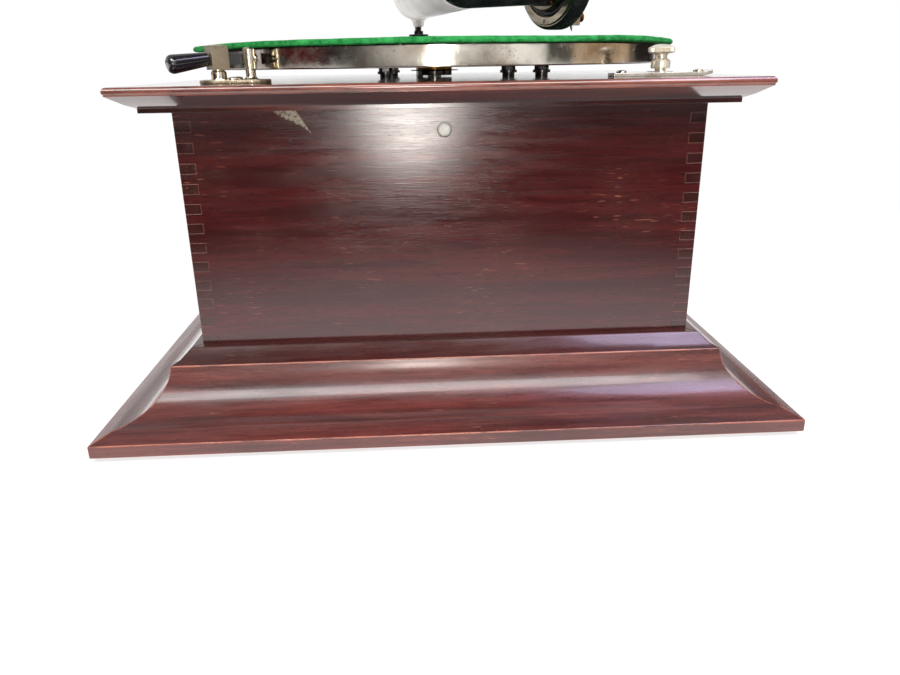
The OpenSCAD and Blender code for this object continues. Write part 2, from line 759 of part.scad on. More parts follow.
// Lever under the plate: a leather pad against the governor's disc, a tail at the speed knob's cam
module friction_lever() color("#77787a") translate([lever_at[0], lever_at[1], 0]) {
    to_knob = knob_at - lever_at;
    face = gov_disc_x + disc_t + slip - lever_at[0];
    translate([0, 0, z_gov - lever_h / 2]) {
        cylinder(r = lever_t, h = z_plate - slip - z_gov + lever_h / 2);
        translate([-lever_t / 2, 0, 0]) cube([lever_t, pad_y + lever_h / 2 - lever_at[1], lever_h]);
        translate([face, pad_y - lever_h / 2 - lever_at[1], 0]) cube([-face, lever_h, lever_h]);
    }
    translate([0, 0, z_plate - cut]) cylinder(r = pawl_pin_r, h = plate_t);
    translate([0, 0, z_tail]) rotate(atan2(to_knob[1], to_knob[0])) translate([0, -lever_t / 2, 0])
        cube([norm(to_knob) - cam_r - slip, lever_t, lever_h]);
}

// Crank

module crank_shaft() color("#a9a69d") {
    from = barrel_x + crown_pitch_r - crown_face;
    translate([from, barrel_y, z_crank]) rotate([0, 90, 0]) cylinder(r = crank_r, h = crank_x - from);
}

module crank_pinion() color("#8e9092")
    translate([barrel_at[0] + crown_pitch_r - crown_face / 2, barrel_at[1], z_crank]) rotate([0, 90, 0])
        gear(crank_teeth, crown_m, crown_face, crank_r + seat);

module crank_arm() color("#a9a69d") translate([crank_x, barrel_at[1], z_crank]) {
    rivet = 2;
    rotate([0, 90, 0]) cylinder(r = crank_r + 4, h = crank_arm_t);
    translate([0, 0, -crank_arm_w / 2]) cube([crank_arm_t, crank_len, crank_arm_w]);
    translate([0, crank_len, 0]) rotate([0, 90, 0]) {
        cylinder(d = crank_arm_w, h = crank_arm_t);
        cylinder(r = grip_pin_r, h = crank_arm_t + grip_l + rivet);
        translate([0, 0, crank_arm_t + grip_l + slip]) cylinder(r = 2 * grip_pin_r, h = rivet);
    }
}

// Outline of the turned grip at a share t of its length
function grip_at(t) = [grip_r * (grip_neck + (1 - grip_neck) * sin(180 * t)), grip_l * t];

module crank_grip() color("#2a1a14")
    translate([crank_x + crank_arm_t + slip / 2, barrel_y + crank_len, z_crank]) rotate([0, 90, 0])
    difference() {
        steps = 12;
        rotate_extrude() polygon(concat([[0, 0]], [for (i = [0 : steps]) grip_at(i / steps)], [[0, grip_l]]));
        translate([0, 0, -cut]) cylinder(r = grip_pin_r + run, h = grip_l + 2 * cut);
    }

// Brake and speed control

module brake_plate() color("#b9b4a8") translate([brake_at[0] + stop_off / 2, brake_at[1], z_top]) {
    half = stop_off / 2 + 1;
    end_r = 8;
    for (s = [-1, 1]) translate([s * half, 0, 0]) cylinder(r = end_r, h = plate_h);
    translate([-half, -end_r, 0]) cube([2 * half, 2 * end_r, plate_h]);
}

// The brake's pivot post and the stop beside it
module brake_posts() color("#b9b4a8") translate([brake_at[0], brake_at[1], z_strip]) {
    flare = 1.5;
    waist_r = stop_r - 0.4;
    cylinder(r = post_r + 0.8, h = block_lift - slip);
    cylinder(r = post_r, h = block_lift + block_h + slip);
    translate([stop_off, 0, 0]) {
        cylinder(r1 = stop_r + flare, r2 = waist_r, h = flare + 0.5);
        cylinder(r = waist_r, h = block_lift);
        translate([0, 0, block_lift]) cylinder(r = stop_r, h = block_h - cut);
    }
}

// Square block that turns on its post, with a leather-faced shoe for the rim
module brake_block() color("#b9b4a8") translate([brake_at[0], brake_at[1], z_block]) difference() {
    union() {
        rotate(block_turn) translate([-block_w / 2, -block_w / 2, 0]) cube([block_w, block_w, block_h]);
        rotate(shoe_turn) translate([0, -shoe_t / 2, shoe_lift]) cube([shoe_l, shoe_t, shoe_h]);
    }
    translate([0, 0, -cut]) cylinder(r = post_r + run, h = block_h + 2 * cut);
}

module brake_handle() color("#19191b") translate([brake_at[0], brake_at[1], z_block + block_h / 2])
    rotate(180 + block_turn) rotate([0, 90 + handle_dip, 0]) translate([0, 0, block_w / 2 + slip]) {
        end = 2;
        root_share = 0.74;
        end_share = 0.7;
        cylinder(r1 = root_share * brake_handle_r, r2 = brake_handle_r, h = brake_handle_l - end);
        translate([0, 0, brake_handle_l - end])
            cylinder(r1 = brake_handle_r, r2 = end_share * brake_handle_r, h = end);
    }

module speed_strip() color("#b9b4a8") translate([knob_at[0], knob_at[1], z_top]) difference() {
    translate([-strip_l / 2, -strip_w / 2, 0]) cube([strip_l, strip_w, plate_h]);
    translate([0, 0, -cut]) cylinder(r = knob_stem_r + run, h = plate_h + 2 * cut);
}

// Round-headed screws of the brake plate and the speed strip
module plate_screws() color("#a9a69d") {
    inset = 5;
    head_r = 2.4;
    head = 1.2;
    for (s = [-1, 1], p = [knob_at + [s * (strip_l / 2 - inset), 0], brake_at + [stop_off / 2, s * inset]])
        translate([p[0], p[1], z_strip]) cylinder(r = head_r, h = head);
}

module speed_knob() color("#b9b4a8") translate([knob_at[0], knob_at[1], z_strip + slip / 2]) {
    rim = 4;
    collar = 3.6;
    collar_r = 4.6;
    waist_r = 3.1;
    flare = 1.1;
    cylinder(r = collar_r, h = collar);
    translate([0, 0, collar]) cylinder(r1 = waist_r + flare, r2 = waist_r, h = 2 * flare);
    cylinder(r = waist_r, h = knob_h - rim);
    translate([0, 0, knob_h - rim]) cylinder(d = knob_d, h = rim);
    translate([0, 0, z_tail - z_strip]) cylinder(r = knob_stem_r, h = z_strip - z_tail + cut);
    translate([0, 0, z_tail - z_strip]) cylinder(r = cam_r, h = lever_h);
}

// Turntable

module platter() color("#b9b4a8") {
    translate([0, 0, z_rim]) tube(platter_d / 2, platter_d / 2 - rim_t, rim_h - platter_t);
    translate([0, 0, z_deck - platter_t]) tube(platter_d / 2, spindle_r + seat, platter_t);
}

module felt_mat() color("#1f9a45") translate([0, 0, z_deck]) tube(felt_d / 2, spindle_r + slip, felt_t);

module platter_hub() color("#8d6b32") translate([0, 0, z_top + hub_gap])
    tube(hub_d / 2, spindle_r + seat, z_deck - platter_t - z_top - hub_gap);

// Tone arm

// Radius of the tapering arm at a distance s from its pivot
function arm_r(s) = elbow_r - 1 + (bend_r - elbow_r + 1) * s / arm_reach;

// Solid of the arm grown or shrunk by d: elbow, neck and tapering arm
module arm_solid(d, neck_top, tip) translate([pivot_at[0], pivot_at[1], z_arm]) {
    sphere(elbow_r + d);
    cylinder(r = neck_r + d, h = neck_top - z_arm);
    rotate([0, 90 + arm_drop, arm_turn - 90]) cylinder(r1 = arm_r(0) + d, r2 = arm_r(tip) + d, h = tip);
}

// Hollow arm, with a cupped boss under its elbow for the pivot screw
module tone_arm() color("#c4c2bc") difference() {
    boss = 1;
    union() {
        difference() {
            arm_solid(0, z_ring + ring_h / 2 - slip, arm_tip);
            arm_solid(-tube_t, z_ring + ring_h, arm_tip + cut);
        }
        translate([pivot_at[0], pivot_at[1], z_arm - elbow_r - boss])
            cylinder(r = 2 * pivot_r, h = boss + cup_h + 2);
    }
    translate([pivot_at[0], pivot_at[1], z_arm - elbow_r - boss - cut])
        cylinder(r = pivot_r + run, h = cut + boss + cup_h);
    along([bend_at[0], bend_at[1], z_cross], cross_dir) cylinder(r = bend_r + run, h = cross_l);
}

// Half section of a round-ended bar of radius r that tapers to another one over a length l
module bar_section(r, end_r, l) intersection() {
    ease = 0.3;
    union() {
        circle(r = r);
        polygon([[0, 0], [r - ease, 0], [end_r, l], [0, l]]);
    }
    translate([0, -r - cut]) square([r + cut, l + r + 2 * cut]);
}

// Black cross tube: a round bend at the arm and a sleeve towards the sound box
module cross_tube() color("#141416") difference() {
    along([bend_at[0], bend_at[1], z_cross], cross_dir) rotate_extrude() difference() {
        bar_section(bend_r, tube_end_r, cross_l - slip);
        bar_section(bend_r - tube_t, tube_end_r - tube_t, cross_l + cut);
    }
    translate([bend_at[0], bend_at[1], z_cross]) rotate([0, 90 + arm_drop, arm_turn + 90])
        cylinder(r = bend_r - 3 * tube_t, h = 2 * bend_r);
}

// Sound box, built along the cross tube's axis: X points down, Z away from the tube
module at_box() along([hub_at[0], hub_at[1], z_cross], cross_dir) children();

// Shell: spigot in the cross tube, hub, back, wall and front lip
module sound_box() color("#1b1b1d") at_box() {
    spigot_r = tube_end_r - tube_t - run;
    bore = spigot_r - tube_t;
    opening_r = mica_r - 3;
    seat_r = mica_r + 0.3;
    front = hub_t + box_t;
    rotate_extrude() polygon([
        [bore, -sleeve_in], [spigot_r, -sleeve_in], [spigot_r, 0], [hub_r, 0], [hub_r, hub_t],
        [box_r, hub_t], [box_r, front], [opening_r, front], [opening_r, front - lip_t],
        [seat_r, front - lip_t], [seat_r, z_gasket], [opening_r, z_gasket],
        [opening_r, hub_t + back_t], [bore, hub_t + back_t]]);
    for (s = [-1, 1]) translate([bar_pivot[0] - post_w, s * post_off - post_w / 2, front - lip_t])
        cube([mica_r - bar_pivot[0] + 5, post_w, lip_t + post_l]);
}

// Mica between two gaskets
module diaphragm() color("#cdb98a") at_box() translate([0, 0, z_mica]) {
    cylinder(r = mica_r, h = mica_t);
    for (z = [-gasket_t, mica_t]) translate([0, 0, z]) tube(mica_r, mica_r - 2.5, gasket_t);
}

// Stylus bar: pivot rod, chuck, needle and the thin bar up to the mica's middle
module stylus_bar() color("#b9b4a8") at_box() {
    translate([bar_pivot[0], 0, bar_pivot[1]]) {
        rotate([90, 0, 0]) cylinder(r = bar_r / 2, h = 2 * post_off - post_w - 2 * slip, center = true);
        rotate([0, 90 - needle_lean, 0]) translate([0, 0, -3]) difference() {
            cylinder(r = bar_r, h = chuck_l);
            translate([0, 0, 4]) cylinder(r = needle_r + seat, h = chuck_l);
        }
    }
    tip = [needle_tip, bar_pivot[1] + (needle_tip - bar_pivot[0]) * tan(needle_lean)];
    translate([bar_pivot[0], 0, bar_pivot[1]]) rotate([0, 90 - needle_lean, 0]) {
        len = (tip[0] - bar_pivot[0]) / cos(needle_lean);
        point = 2;
        translate([0, 0, 1]) cylinder(r = needle_r, h = len - point - 1);
        translate([0, 0, len - point]) cylinder(r1 = needle_r, r2 = 0.1, h = point);
    }
    foot_z = z_mica + mica_t + 2 * slip;
    bar_w = 2;
    bar_t = 1.6;
    translate([-bar_w / 2, -bar_w / 2, foot_z])
        cube([bar_w, bar_w, bar_pivot[1] + bar_t / 2 - foot_z]);
    translate([-bar_w / 2, -bar_w / 2, bar_pivot[1] - bar_t / 2]) cube([bar_pivot[0], bar_w, bar_t]);
}

module needle_screw() color("#8d6b32") at_box()
    translate([bar_pivot[0], 0, bar_pivot[1]]) rotate([0, 90 - needle_lean, 0]) translate([0, 0, 5])
        rotate([0, -90, 0]) translate([0, 0, bar_r + slip / 2]) {
            stem = 3;
            cylinder(r = bar_r - cut, h = stem);
            translate([0, 0, stem]) cylinder(r = stem, h = bar_r);
        }

// Bracket

z_back_plate = z_body + case_h / 2;
bolt_inset = 9.5;
bracket_bolts_at = [for (x = [-1, 1], z = [-1, 1])
    [pivot_at[0] + x * (foot_w / 2 - bolt_inset), z_back_plate + z * (back_plate_h / 2 - bolt_inset)]];

// Web as seen from the side: out from the case, under the pivot, up behind the elbow
module horn_bracket() color("#202022") difference() {
    root_y = back_y + back_plate_t - 1;
    web_drop = back_plate_h / 2 - 1;
    upright_w = 26;
    web_rise = 10;
    union() {
        translate([pivot_at[0] - foot_w / 2, back_y, z_back_plate - back_plate_h / 2])
            cube([foot_w, back_plate_t, back_plate_h]);
        translate([pivot_at[0] - web_t / 2, 0, 0]) rotate([90, 0, 90]) linear_extrude(web_t) polygon([
            [root_y, z_back_plate - web_drop], [root_y, z_back_plate + web_drop],
            [back_y + top_over + back_plate_t, z_back_plate + web_drop + web_rise],
            [pivot_y - lug_r - 1, z_lug - lug_h - 2], [pivot_y - lug_r - 1, z_lug],
            [pivot_y + lug_r + 1, z_lug],
            [upright_y, z_lug - lug_h / 2], [upright_y, z_ring], [upright_y - 4, z_ring + ring_h],
            [upright_y + lug_h, z_ring + ring_h], [upright_y + upright_w, z_ring - web_rise],
            [upright_y + upright_w, z_lug - upright_w - 4], [pivot_y - 4, z_back_plate + 5]]);
        translate([pivot_at[0], pivot_at[1], z_lug - lug_h]) cylinder(r = lug_r, h = lug_h);
        translate([pivot_at[0], pivot_at[1], z_ring]) cylinder(r = neck_r + ring_wall, h = ring_h);
    }
    translate([pivot_at[0], pivot_at[1], z_ring - cut]) cylinder(r = neck_r + run, h = ring_h + 2 * cut);
    translate([pivot_at[0], pivot_at[1], z_lug - screw_in]) cylinder(r = pivot_r + seat, h = screw_in + cut);
    for (p = bracket_bolts_at) translate([p[0], back_y - cut, p[1]]) rotate([-90, 0, 0])
        cylinder(r = bolt_r + run, h = back_plate_t + 2 * cut);
}

module bracket_bolts() color("#3a3a3c") for (p = bracket_bolts_at) translate([p[0], inner, p[1]])
    rotate([-90, 0, 0]) {
        head = 3.4;
        cylinder(r = bolt_r, h = panel_t + back_plate_t);
        translate([0, 0, panel_t + back_plate_t]) cylinder(r = 2 * bolt_r, h = head, $fn = 6);
        translate([0, 0, -head]) cylinder(r = 2 * bolt_r, h = head, $fn = 6);
    }

// Pointed screw that carries the arm, with its lock nut on the lug
module pivot_screw() color("#26262a") translate([pivot_at[0], pivot_at[1], z_lug]) {
    rise = z_arm - elbow_r + cup_h - slip - z_lug;
    nut_r = 3.6;
    nut = 2.6;
    translate([0, 0, -screw_in]) cylinder(r = pivot_r, h = screw_in + rise);
    cylinder(r = nut_r, h = nut);
}

// Horn

// Inner radius of the horn at a share t of its flare
function horn_r(t) = neck_r + seat + (mouth_r - neck_r - seat) * (cone_share * t + (1 - cone_share) * t ^ 4);
flare_l = horn_l - spigot;
flare = [for (i = [0 : horn_steps]) [horn_r(i / horn_steps), spigot + flare_l * i / horn_steps]];
// Slope of the flare there, and the step square to it through the sheet
function horn_slope(t) = (mouth_r - neck_r - seat) * (cone_share + 4 * (1 - cone_share) * t ^ 3) / flare_l;
function sheet_step(t) = sheet_t * [1, -horn_slope(t)] / norm([1, horn_slope(t)]);
mouth_dir = [horn_slope(1), 1] / norm([horn_slope(1), 1]);

// Upright tail in the bracket's ring, its flange, the bend and the spigot for the horn
module horn_elbow() color("#17171a") {
    lo = z_ring + ring_h / 2 + slip;
    seat_z = z_ring + ring_h + slip;
    translate([pivot_at[0], pivot_at[1], 0]) rotate_extrude() polygon([
        [neck_r - tube_t, lo], [neck_r, lo], [neck_r, seat_z], [neck_r + flange_w, seat_z],
        [neck_r + flange_w, z_elbow], [neck_r - tube_t, z_elbow]]);
    elbow_turn();
    at_throat() tube(neck_r, neck_r - tube_t, spigot);
}

// Turn of the horn's tail, from upright to the horn's tilt
module elbow_turn() translate([pivot_at[0], pivot_at[1] - elbow_bend, z_elbow]) rotate([90, 0, 90])
    rotate_extrude(angle = 90 - horn_tilt) translate([elbow_bend, 0]) difference() {
        circle(r = neck_r);
        circle(r = neck_r - tube_t);
    }

module at_throat() translate(throat_at) rotate([90 - horn_tilt, 0, 0]) children();

// Petals of sheet, a socket at the spigot and a flare to the mouth, parted at the seams
module horn_petals() color("#17171a") at_throat() difference() {
    rotate_extrude() polygon(concat(
        [[neck_r + seat, 1]], flare,
        [for (i = [horn_steps : -1 : 0]) flare[i] + sheet_step(i / horn_steps)],
        [[neck_r + seat + sheet_t, 1]]));
    for (i = [0 : petal_n - 1]) rotate((i + 0.5) * 360 / petal_n) translate([0, -seam / 2, 0])
        cube([mouth_r + 2 * bead_r, seam, horn_l + cut]);
}

// Wired edge round the mouth
module horn_rim() color("#b08d3f") at_throat() rotate_extrude()
    translate([mouth_r, horn_l] + (bead_r + 2 * run) * mouth_dir) circle(r = bead_r);

front_panel();
back_panel();
left_panel();
right_panel();
top_board();
plinth_front();
plinth_back();
plinth_left();
plinth_right();
bottom_board();
front_plug();
winding_escutcheon();
motor_top_plate();
motor_base_plate();
motor_pillars();
motor_bolts();
shaft_bearings();
brake_plate();
brake_posts();
speed_strip();
plate_screws();
horn_bracket();
bracket_bolts();
pivot_screw();
platter();
felt_mat();
platter_hub();
spindle();
spindle_pinion();
governor_wheel();
intermediate_wheel();
intermediate_pinion();
spring_barrel();
barrel_lid();
mainspring();
barrel_arbor();
crown_wheel();
ratchet_wheel();
pawl();
governor_shaft();
governor_worm();
governor_collars();
governor_weights();
friction_lever();
crank_shaft();
crank_pinion();
crank_arm();
crank_grip();
brake_block();
brake_handle();
speed_knob();
tone_arm();
cross_tube();
sound_box();
diaphragm();
stylus_bar();
needle_screw();
horn_elbow();
horn_petals();
horn_rim();
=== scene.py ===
"""Horn gramophone: the looks of its pieces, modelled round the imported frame."""

import json
from math import atan2, cos, hypot, pi, radians, sin, tau

import bmesh
import bpy
from bpy.props import FloatProperty, FloatVectorProperty, IntProperty, PointerProperty
from bpy.types import Operator, Panel, PropertyGroup
from mathutils import Matrix, Vector, noise


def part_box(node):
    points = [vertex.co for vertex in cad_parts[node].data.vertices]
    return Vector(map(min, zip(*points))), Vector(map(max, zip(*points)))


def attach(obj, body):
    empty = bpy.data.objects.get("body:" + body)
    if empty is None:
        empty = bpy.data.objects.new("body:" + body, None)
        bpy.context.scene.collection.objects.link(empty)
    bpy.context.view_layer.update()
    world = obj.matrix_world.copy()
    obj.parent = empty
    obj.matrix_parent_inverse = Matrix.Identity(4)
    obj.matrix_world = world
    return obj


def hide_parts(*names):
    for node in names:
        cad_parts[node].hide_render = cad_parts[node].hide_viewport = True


bl_info = {
    "name": "Horn Gramophone",
    "version": (1, 0, 0),
    "blender": (4, 5, 0),
    "location": "View3D > Sidebar > Gramophone",
    "description": "Builds a mahogany horn gramophone round its packed frame",
    "category": "Object",
}

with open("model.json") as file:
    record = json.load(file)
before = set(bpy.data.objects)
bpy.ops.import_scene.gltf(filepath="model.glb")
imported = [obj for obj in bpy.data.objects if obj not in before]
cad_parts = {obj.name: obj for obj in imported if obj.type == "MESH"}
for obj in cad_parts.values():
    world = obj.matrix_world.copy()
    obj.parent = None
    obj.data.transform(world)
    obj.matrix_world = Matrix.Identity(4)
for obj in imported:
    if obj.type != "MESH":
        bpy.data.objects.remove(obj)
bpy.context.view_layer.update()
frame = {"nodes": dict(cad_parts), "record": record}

MM = 0.001
X_AXIS, Y_AXIS, Z_AXIS = Vector((1, 0, 0)), Vector((0, 1, 0)), Vector((0, 0, 1))
JOINTS = {joint["name"]: joint for joint in frame["record"]["behaviour"]["joints"]}
WHITE, BLACK = (1.0, 1.0, 1.0, 1.0), (0.0, 0.0, 0.0, 1.0)
MERGE = 1e-6
SHARP = radians(32)


def srgb(red, green, blue):
    """A colour named by its 8-bit screen values, as scene-linear numbers."""
    def linear(value):
        level = value / 255
        return level / 12.92 if level <= 0.04045 else ((level + 0.055) / 1.055) ** 2.4
    return linear(red), linear(green), linear(blue)


def darker(tint, part):
    return [channel * part for channel in tint]


def joint_place(name):
    """Place and direction of a joint's axis."""
    joint = JOINTS[name]
    return Vector(joint["pos_m"]), Vector(joint["axis"]).normalized()


def box_mm(node):
    """Lowest and highest corners of a CAD node, in millimetres."""
    low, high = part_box(node)
    return low / MM, high / MM


# Sizes and colours that a user would change

def length(name, description, millimetres):
    return FloatProperty(name=name, description=description, default=millimetres * MM,
                         min=0.0, unit="LENGTH", precision=5)


def quantity(name, description, default, least=0.0):
    return FloatProperty(name=name, description=description, default=default, min=least)


def share(name, description, default):
    return FloatProperty(name=name, description=description, default=default,
                         min=0.0, max=1.0, subtype="FACTOR")


def angle(name, description, degrees):
    return FloatProperty(name=name, description=description, default=radians(degrees), subtype="ANGLE")


def tally(name, description, default, least, most):
    return IntProperty(name=name, description=description, default=default, min=least, max=most)


def colour(name, description, red, green, blue):
    return FloatVectorProperty(name=name, description=description, subtype="COLOR", size=3,
                               min=0.0, max=1.0, default=srgb(red, green, blue))


class CaseSettings(PropertyGroup):
    joint_arris: length("Joint arris", "Worn edge of the panels and their fingers", 0.16)
    board_arris: length("Board arris", "Worn edge of the top board", 0.5)
    plinth_arris: length("Plinth arris", "Worn edge of the plinth", 0.45)
    dark_wood: colour("Dark wood", "Darkest streaks of the mahogany", 46, 12, 13)
    light_wood: colour("Light wood", "Lightest streaks of the mahogany", 72, 21, 21)
    plinth_dark: colour("Plinth dark", "Darkest streaks of the plinth", 54, 21, 19)
    plinth_light: colour("Plinth light", "Lightest streaks of the plinth", 104, 49, 43)
    worn_wood: colour("Worn wood", "Bare wood on worn edges", 194, 112, 82)
    chipped_wood: colour("Chipped wood", "Bare wood where the polish has flaked", 150, 140, 120)
    deal: colour("Deal", "Softwood of the bottom board", 150, 112, 78)
    bone: colour("Bone", "Plug in the front panel", 250, 248, 242)


class TurntableSettings(PropertyGroup):
    felt_droop: length("Felt droop", "Fall of the felt's edge past the platter", 0.35)
    felt_wave: length("Felt wave", "Height of the waves round the felt's edge", 0.5)
    felt_fuzz: length("Felt fuzz", "Raggedness of the felt's cut edge", 0.45)
    rim_round: length("Rim rounding", "Rounded edges of the platter's rim", 0.7)
    felt_dark: colour("Felt dark", "Shaded tufts of the felt", 10, 84, 34)
    felt_light: colour("Felt light", "Lit tufts of the felt", 56, 156, 80)
    nickel: colour("Nickel", "Clean nickel plate", 213, 208, 199)
    nickel_stain: colour("Nickel stain", "Stained nickel plate", 150, 134, 116)
    rust: colour("Rust", "Rust in the pits of the plate", 74, 44, 26)
    brass: colour("Brass", "Aged brass", 176, 128, 58)
    brass_stain: colour("Brass stain", "Tarnish on the brass", 66, 44, 22)


class FittingSettings(PropertyGroup):
    edge: length("Fitting edge", "Rounded edges of the small fittings", 0.45)
    knurls: tally("Knurls", "Ridges round the speed knob", 40, 12, 90)
    strip_lift: length("Strip lift", "Height of the speed strip's bent end", 1.0)
    cast_edge: length("Cast edge", "Rounded edges of the iron bracket", 1.2)
    thread_pitch: length("Thread pitch", "Pitch of the pivot screw's thread", 1.0)
    black: colour("Black", "Black lacquer and japan", 17, 17, 20)
    iron: colour("Iron", "Grey iron of the motor", 112, 112, 112)
    steel: colour("Steel", "Bright steel", 178, 177, 172)
    leather: colour("Leather", "Leather face of the brake's shoe", 92, 58, 36)
    grip: colour("Grip", "Ebonised wood of the crank's grip", 44, 26, 20)
    mica: colour("Mica", "Mica of the diaphragm", 214, 196, 150)


class HornSettings(PropertyGroup):
    seam_width: length("Seam width", "Width of the rolled seam between two petals", 4.0)
    seam_height: length("Seam height", "Height of the rolled seam", 1.5)
    petal_steps: tally("Petal steps", "Facets across one petal", 12, 4, 32)
    flare_steps: tally("Flare steps", "Facets along the horn", 36, 12, 80)


class StageSettings(PropertyGroup):
    camera_place: FloatVectorProperty(name="Camera", description="Place of the camera", subtype="XYZ",
                                      unit="LENGTH", size=3, default=(-0.01555, -0.47122, 0.16852))
    camera_yaw: angle("Yaw", "Turn of the camera to the right", 2.705)
    camera_pitch: angle("Pitch", "Tilt of the camera downwards", 20.261)
    camera_roll: angle("Roll", "Turn of the camera about its own axis", -0.928)
    lens: quantity("Lens", "Focal length on a 36 mm sensor, in millimetres", 29.796, 1.0)
    floor_radius: length("Floor radius", "Reach of the pale floor", 640)
    room: share("Room", "Brightness of the dim room in front", 0.06)
    glare: quantity("Glare", "Brightness of the low window that the front mirrors", 33.0)
    floor_glare: quantity("Floor glare", "Brightness of the floor in polished wood", 2.4)
    floor_bounce: quantity("Floor bounce", "Light that the floor throws on matt surfaces", 1.7)
    fill: share("Fill", "Light from all round on matt surfaces", 0.5)
    window_power: quantity("Window", "Power of the low window in front, in watts", 4.0)
    strip_power: quantity("Strip light", "Power of the strip overhead, in watts", 20.0)
    sky_power: quantity("Sky light", "Power of the sky at the upper right, in watts", 10.0)
    sky: colour("Sky", "Colour of the sky light", 214, 202, 240)


# Meshes

def outline_in(bm, points, closed=False):
    """Draws an outline of (radius, height) points, in millimetres, and returns its points and edges."""
    verts = [bm.verts.new((radius * MM, 0, height * MM)) for radius, height in points]
    pairs = list(zip(verts, verts[1:])) + ([(verts[-1], verts[0])] if closed else [])
    return verts + [bm.edges.new(pair) for pair in pairs]


def turned(outline, steps, closed=False):
    """Turns an outline of (radius, height) points, in millimetres, about Z."""
    bm = bmesh.new()
    bmesh.ops.spin(bm, geom=outline_in(bm, outline, closed), cent=(0, 0, 0), axis=(0, 0, 1), angle=tau,
                   steps=steps, use_merge=True)
    bmesh.ops.remove_doubles(bm, verts=bm.verts, dist=MERGE)
    bmesh.ops.recalc_face_normals(bm, faces=bm.faces)
    return bm


def arc(centre, radius, start, end, steps=6):
    """Points of a round stretch of an outline, in millimetres and degrees."""
    angles = [radians(start + (end - start) * i / steps) for i in range(steps + 1)]
    return [(centre[0] + radius * cos(a), centre[1] + radius * sin(a)) for a in angles]


def soften(bm, width, segments=2, least=28):
    """Rounds every edge that is sharper than the least angle, in degrees, and returns the new faces."""
    edges = [e for e in bm.edges if len(e.link_faces) == 2 and e.calc_face_angle() > radians(least)]
    made = bmesh.ops.bevel(bm, geom=edges, offset=width, offset_type="OFFSET", segments=segments,
                           profile=0.5, affect="EDGES", clamp_overlap=True, material=-1)
    return made["faces"]


def block(size, centre, edge):
    """A box with rounded edges, in millimetres."""
    bm = bmesh.new()
    place = Matrix.Translation(Vector(centre) * MM) @ Matrix.Diagonal((*(s * MM for s in size), 1))
    bmesh.ops.create_cube(bm, size=1, matrix=place)
    soften(bm, edge * MM)
    return bm


def add_cone(bm, foot, top, tall, place, steps=64):
    """Adds a capped cone that stands on a place, along its Z."""
    bmesh.ops.create_cone(bm, cap_ends=True, segments=steps, radius1=foot, radius2=top, depth=tall,
                          matrix=place @ Matrix.Translation((0, 0, tall / 2)))


def numbered(bm, number):
    """Gives every face of a bmesh the number of its finish."""
    for face in bm.faces:
        face.material_index = number
    return bm


def node_copy(node):
    """A merged copy of a CAD node's mesh, with its flat faces whole again."""
    bm = bmesh.new()
    bm.from_mesh(frame["nodes"][node].data)
    bmesh.ops.remove_doubles(bm, verts=bm.verts, dist=2 * MERGE)
    bmesh.ops.dissolve_limit(bm, angle_limit=radians(0.5), verts=bm.verts, edges=bm.edges)
    return numbered(bm, 0)


def mesh_of(bm, name):
    """Turns a bmesh into a mesh."""
    mesh = bpy.data.meshes.new(name)
    bm.to_mesh(mesh)
    bm.free()
    return mesh


def joined(*parts):
    """One bmesh from several."""
    whole = bmesh.new()
    for part in parts:
        mesh = mesh_of(part, "part")
        whole.from_mesh(mesh)
        bpy.data.meshes.remove(mesh)
    return whole


def placed(bm, matrix):
    bmesh.ops.transform(bm, matrix=matrix, verts=bm.verts)
    return bm


def moved(bm, x, y, z):
    """Moves a bmesh by millimetres."""
    return placed(bm, Matrix.Translation(Vector((x, y, z)) * MM))


def off_axis(place):
    """Distance of a point from the Z axis."""
    return hypot(place.x, place.y)


def spread(point, part):
    """Moves a point to a part of its distance from the Z axis."""
    point.co.x *= part
    point.co.y *= part


def axis_frame(origin, direction):
    """Matrix whose Z lies along a direction and whose X points down as far as it can."""
    z = direction.normalized()
    x = (z * z.z - Z_AXIS).normalized()
    return Matrix.Translation(origin) @ Matrix((x, z.cross(x), z)).transposed().to_4x4()


def cut_across(bm, x, **options):
    """Cuts a bmesh at one X."""
    return bmesh.ops.bisect_plane(bm, geom=bm.verts[:] + bm.edges[:] + bm.faces[:],
                                  plane_co=(x, 0, 0), plane_no=(1, 0, 0), **options)


def slotted_head(radius, height):
    """A round screw head with a slot across it, in millimetres, its seat at the origin."""
    slot, steps, floor = 0.5, 24, 0.45 * height
    curve = [(radius * sin(a), floor + (height - floor) * cos(a)) for a in (0.4, 0.8, 1.2, pi / 2)]
    dome = turned([(0, height), *curve, (radius, floor), (0, floor)], steps)
    cut = cut_across(dome, slot / 2 * MM, clear_inner=True)
    rim = [e for e in cut["geom_cut"] if isinstance(e, bmesh.types.BMEdge)]
    bmesh.ops.edgeloop_fill(dome, edges=rim)
    other = placed(dome.copy(), Matrix.Rotation(pi, 4, "Z"))
    seat = turned([(0, floor), (radius, floor), (radius, 0), (0, 0)], steps)
    return joined(seat, dome, other)


def linked(name, data):
    """A new object in the scene that holds a mesh, lamp or camera."""
    made = bpy.data.objects.new(name, data)
    bpy.context.scene.collection.objects.link(made)
    return made


def finish_piece(bm, node, suffix, body, slot, *finishes):
    """Makes the piece that stands for a CAD node: shaded, finished and riding on its body."""
    name = f"{node}_{suffix}"
    mesh = mesh_of(bm, name)
    mesh.shade_smooth()
    mesh.set_sharp_from_angle(angle=SHARP)
    for material in finishes:
        mesh.materials.append(bpy.data.materials[material])
    piece = linked(name, mesh)
    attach(piece, body)
    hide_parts(node)
    weigh = piece.modifiers.new("flat faces stay flat", "WEIGHTED_NORMAL")
    weigh.keep_sharp, weigh.weight = True, 100
    return piece


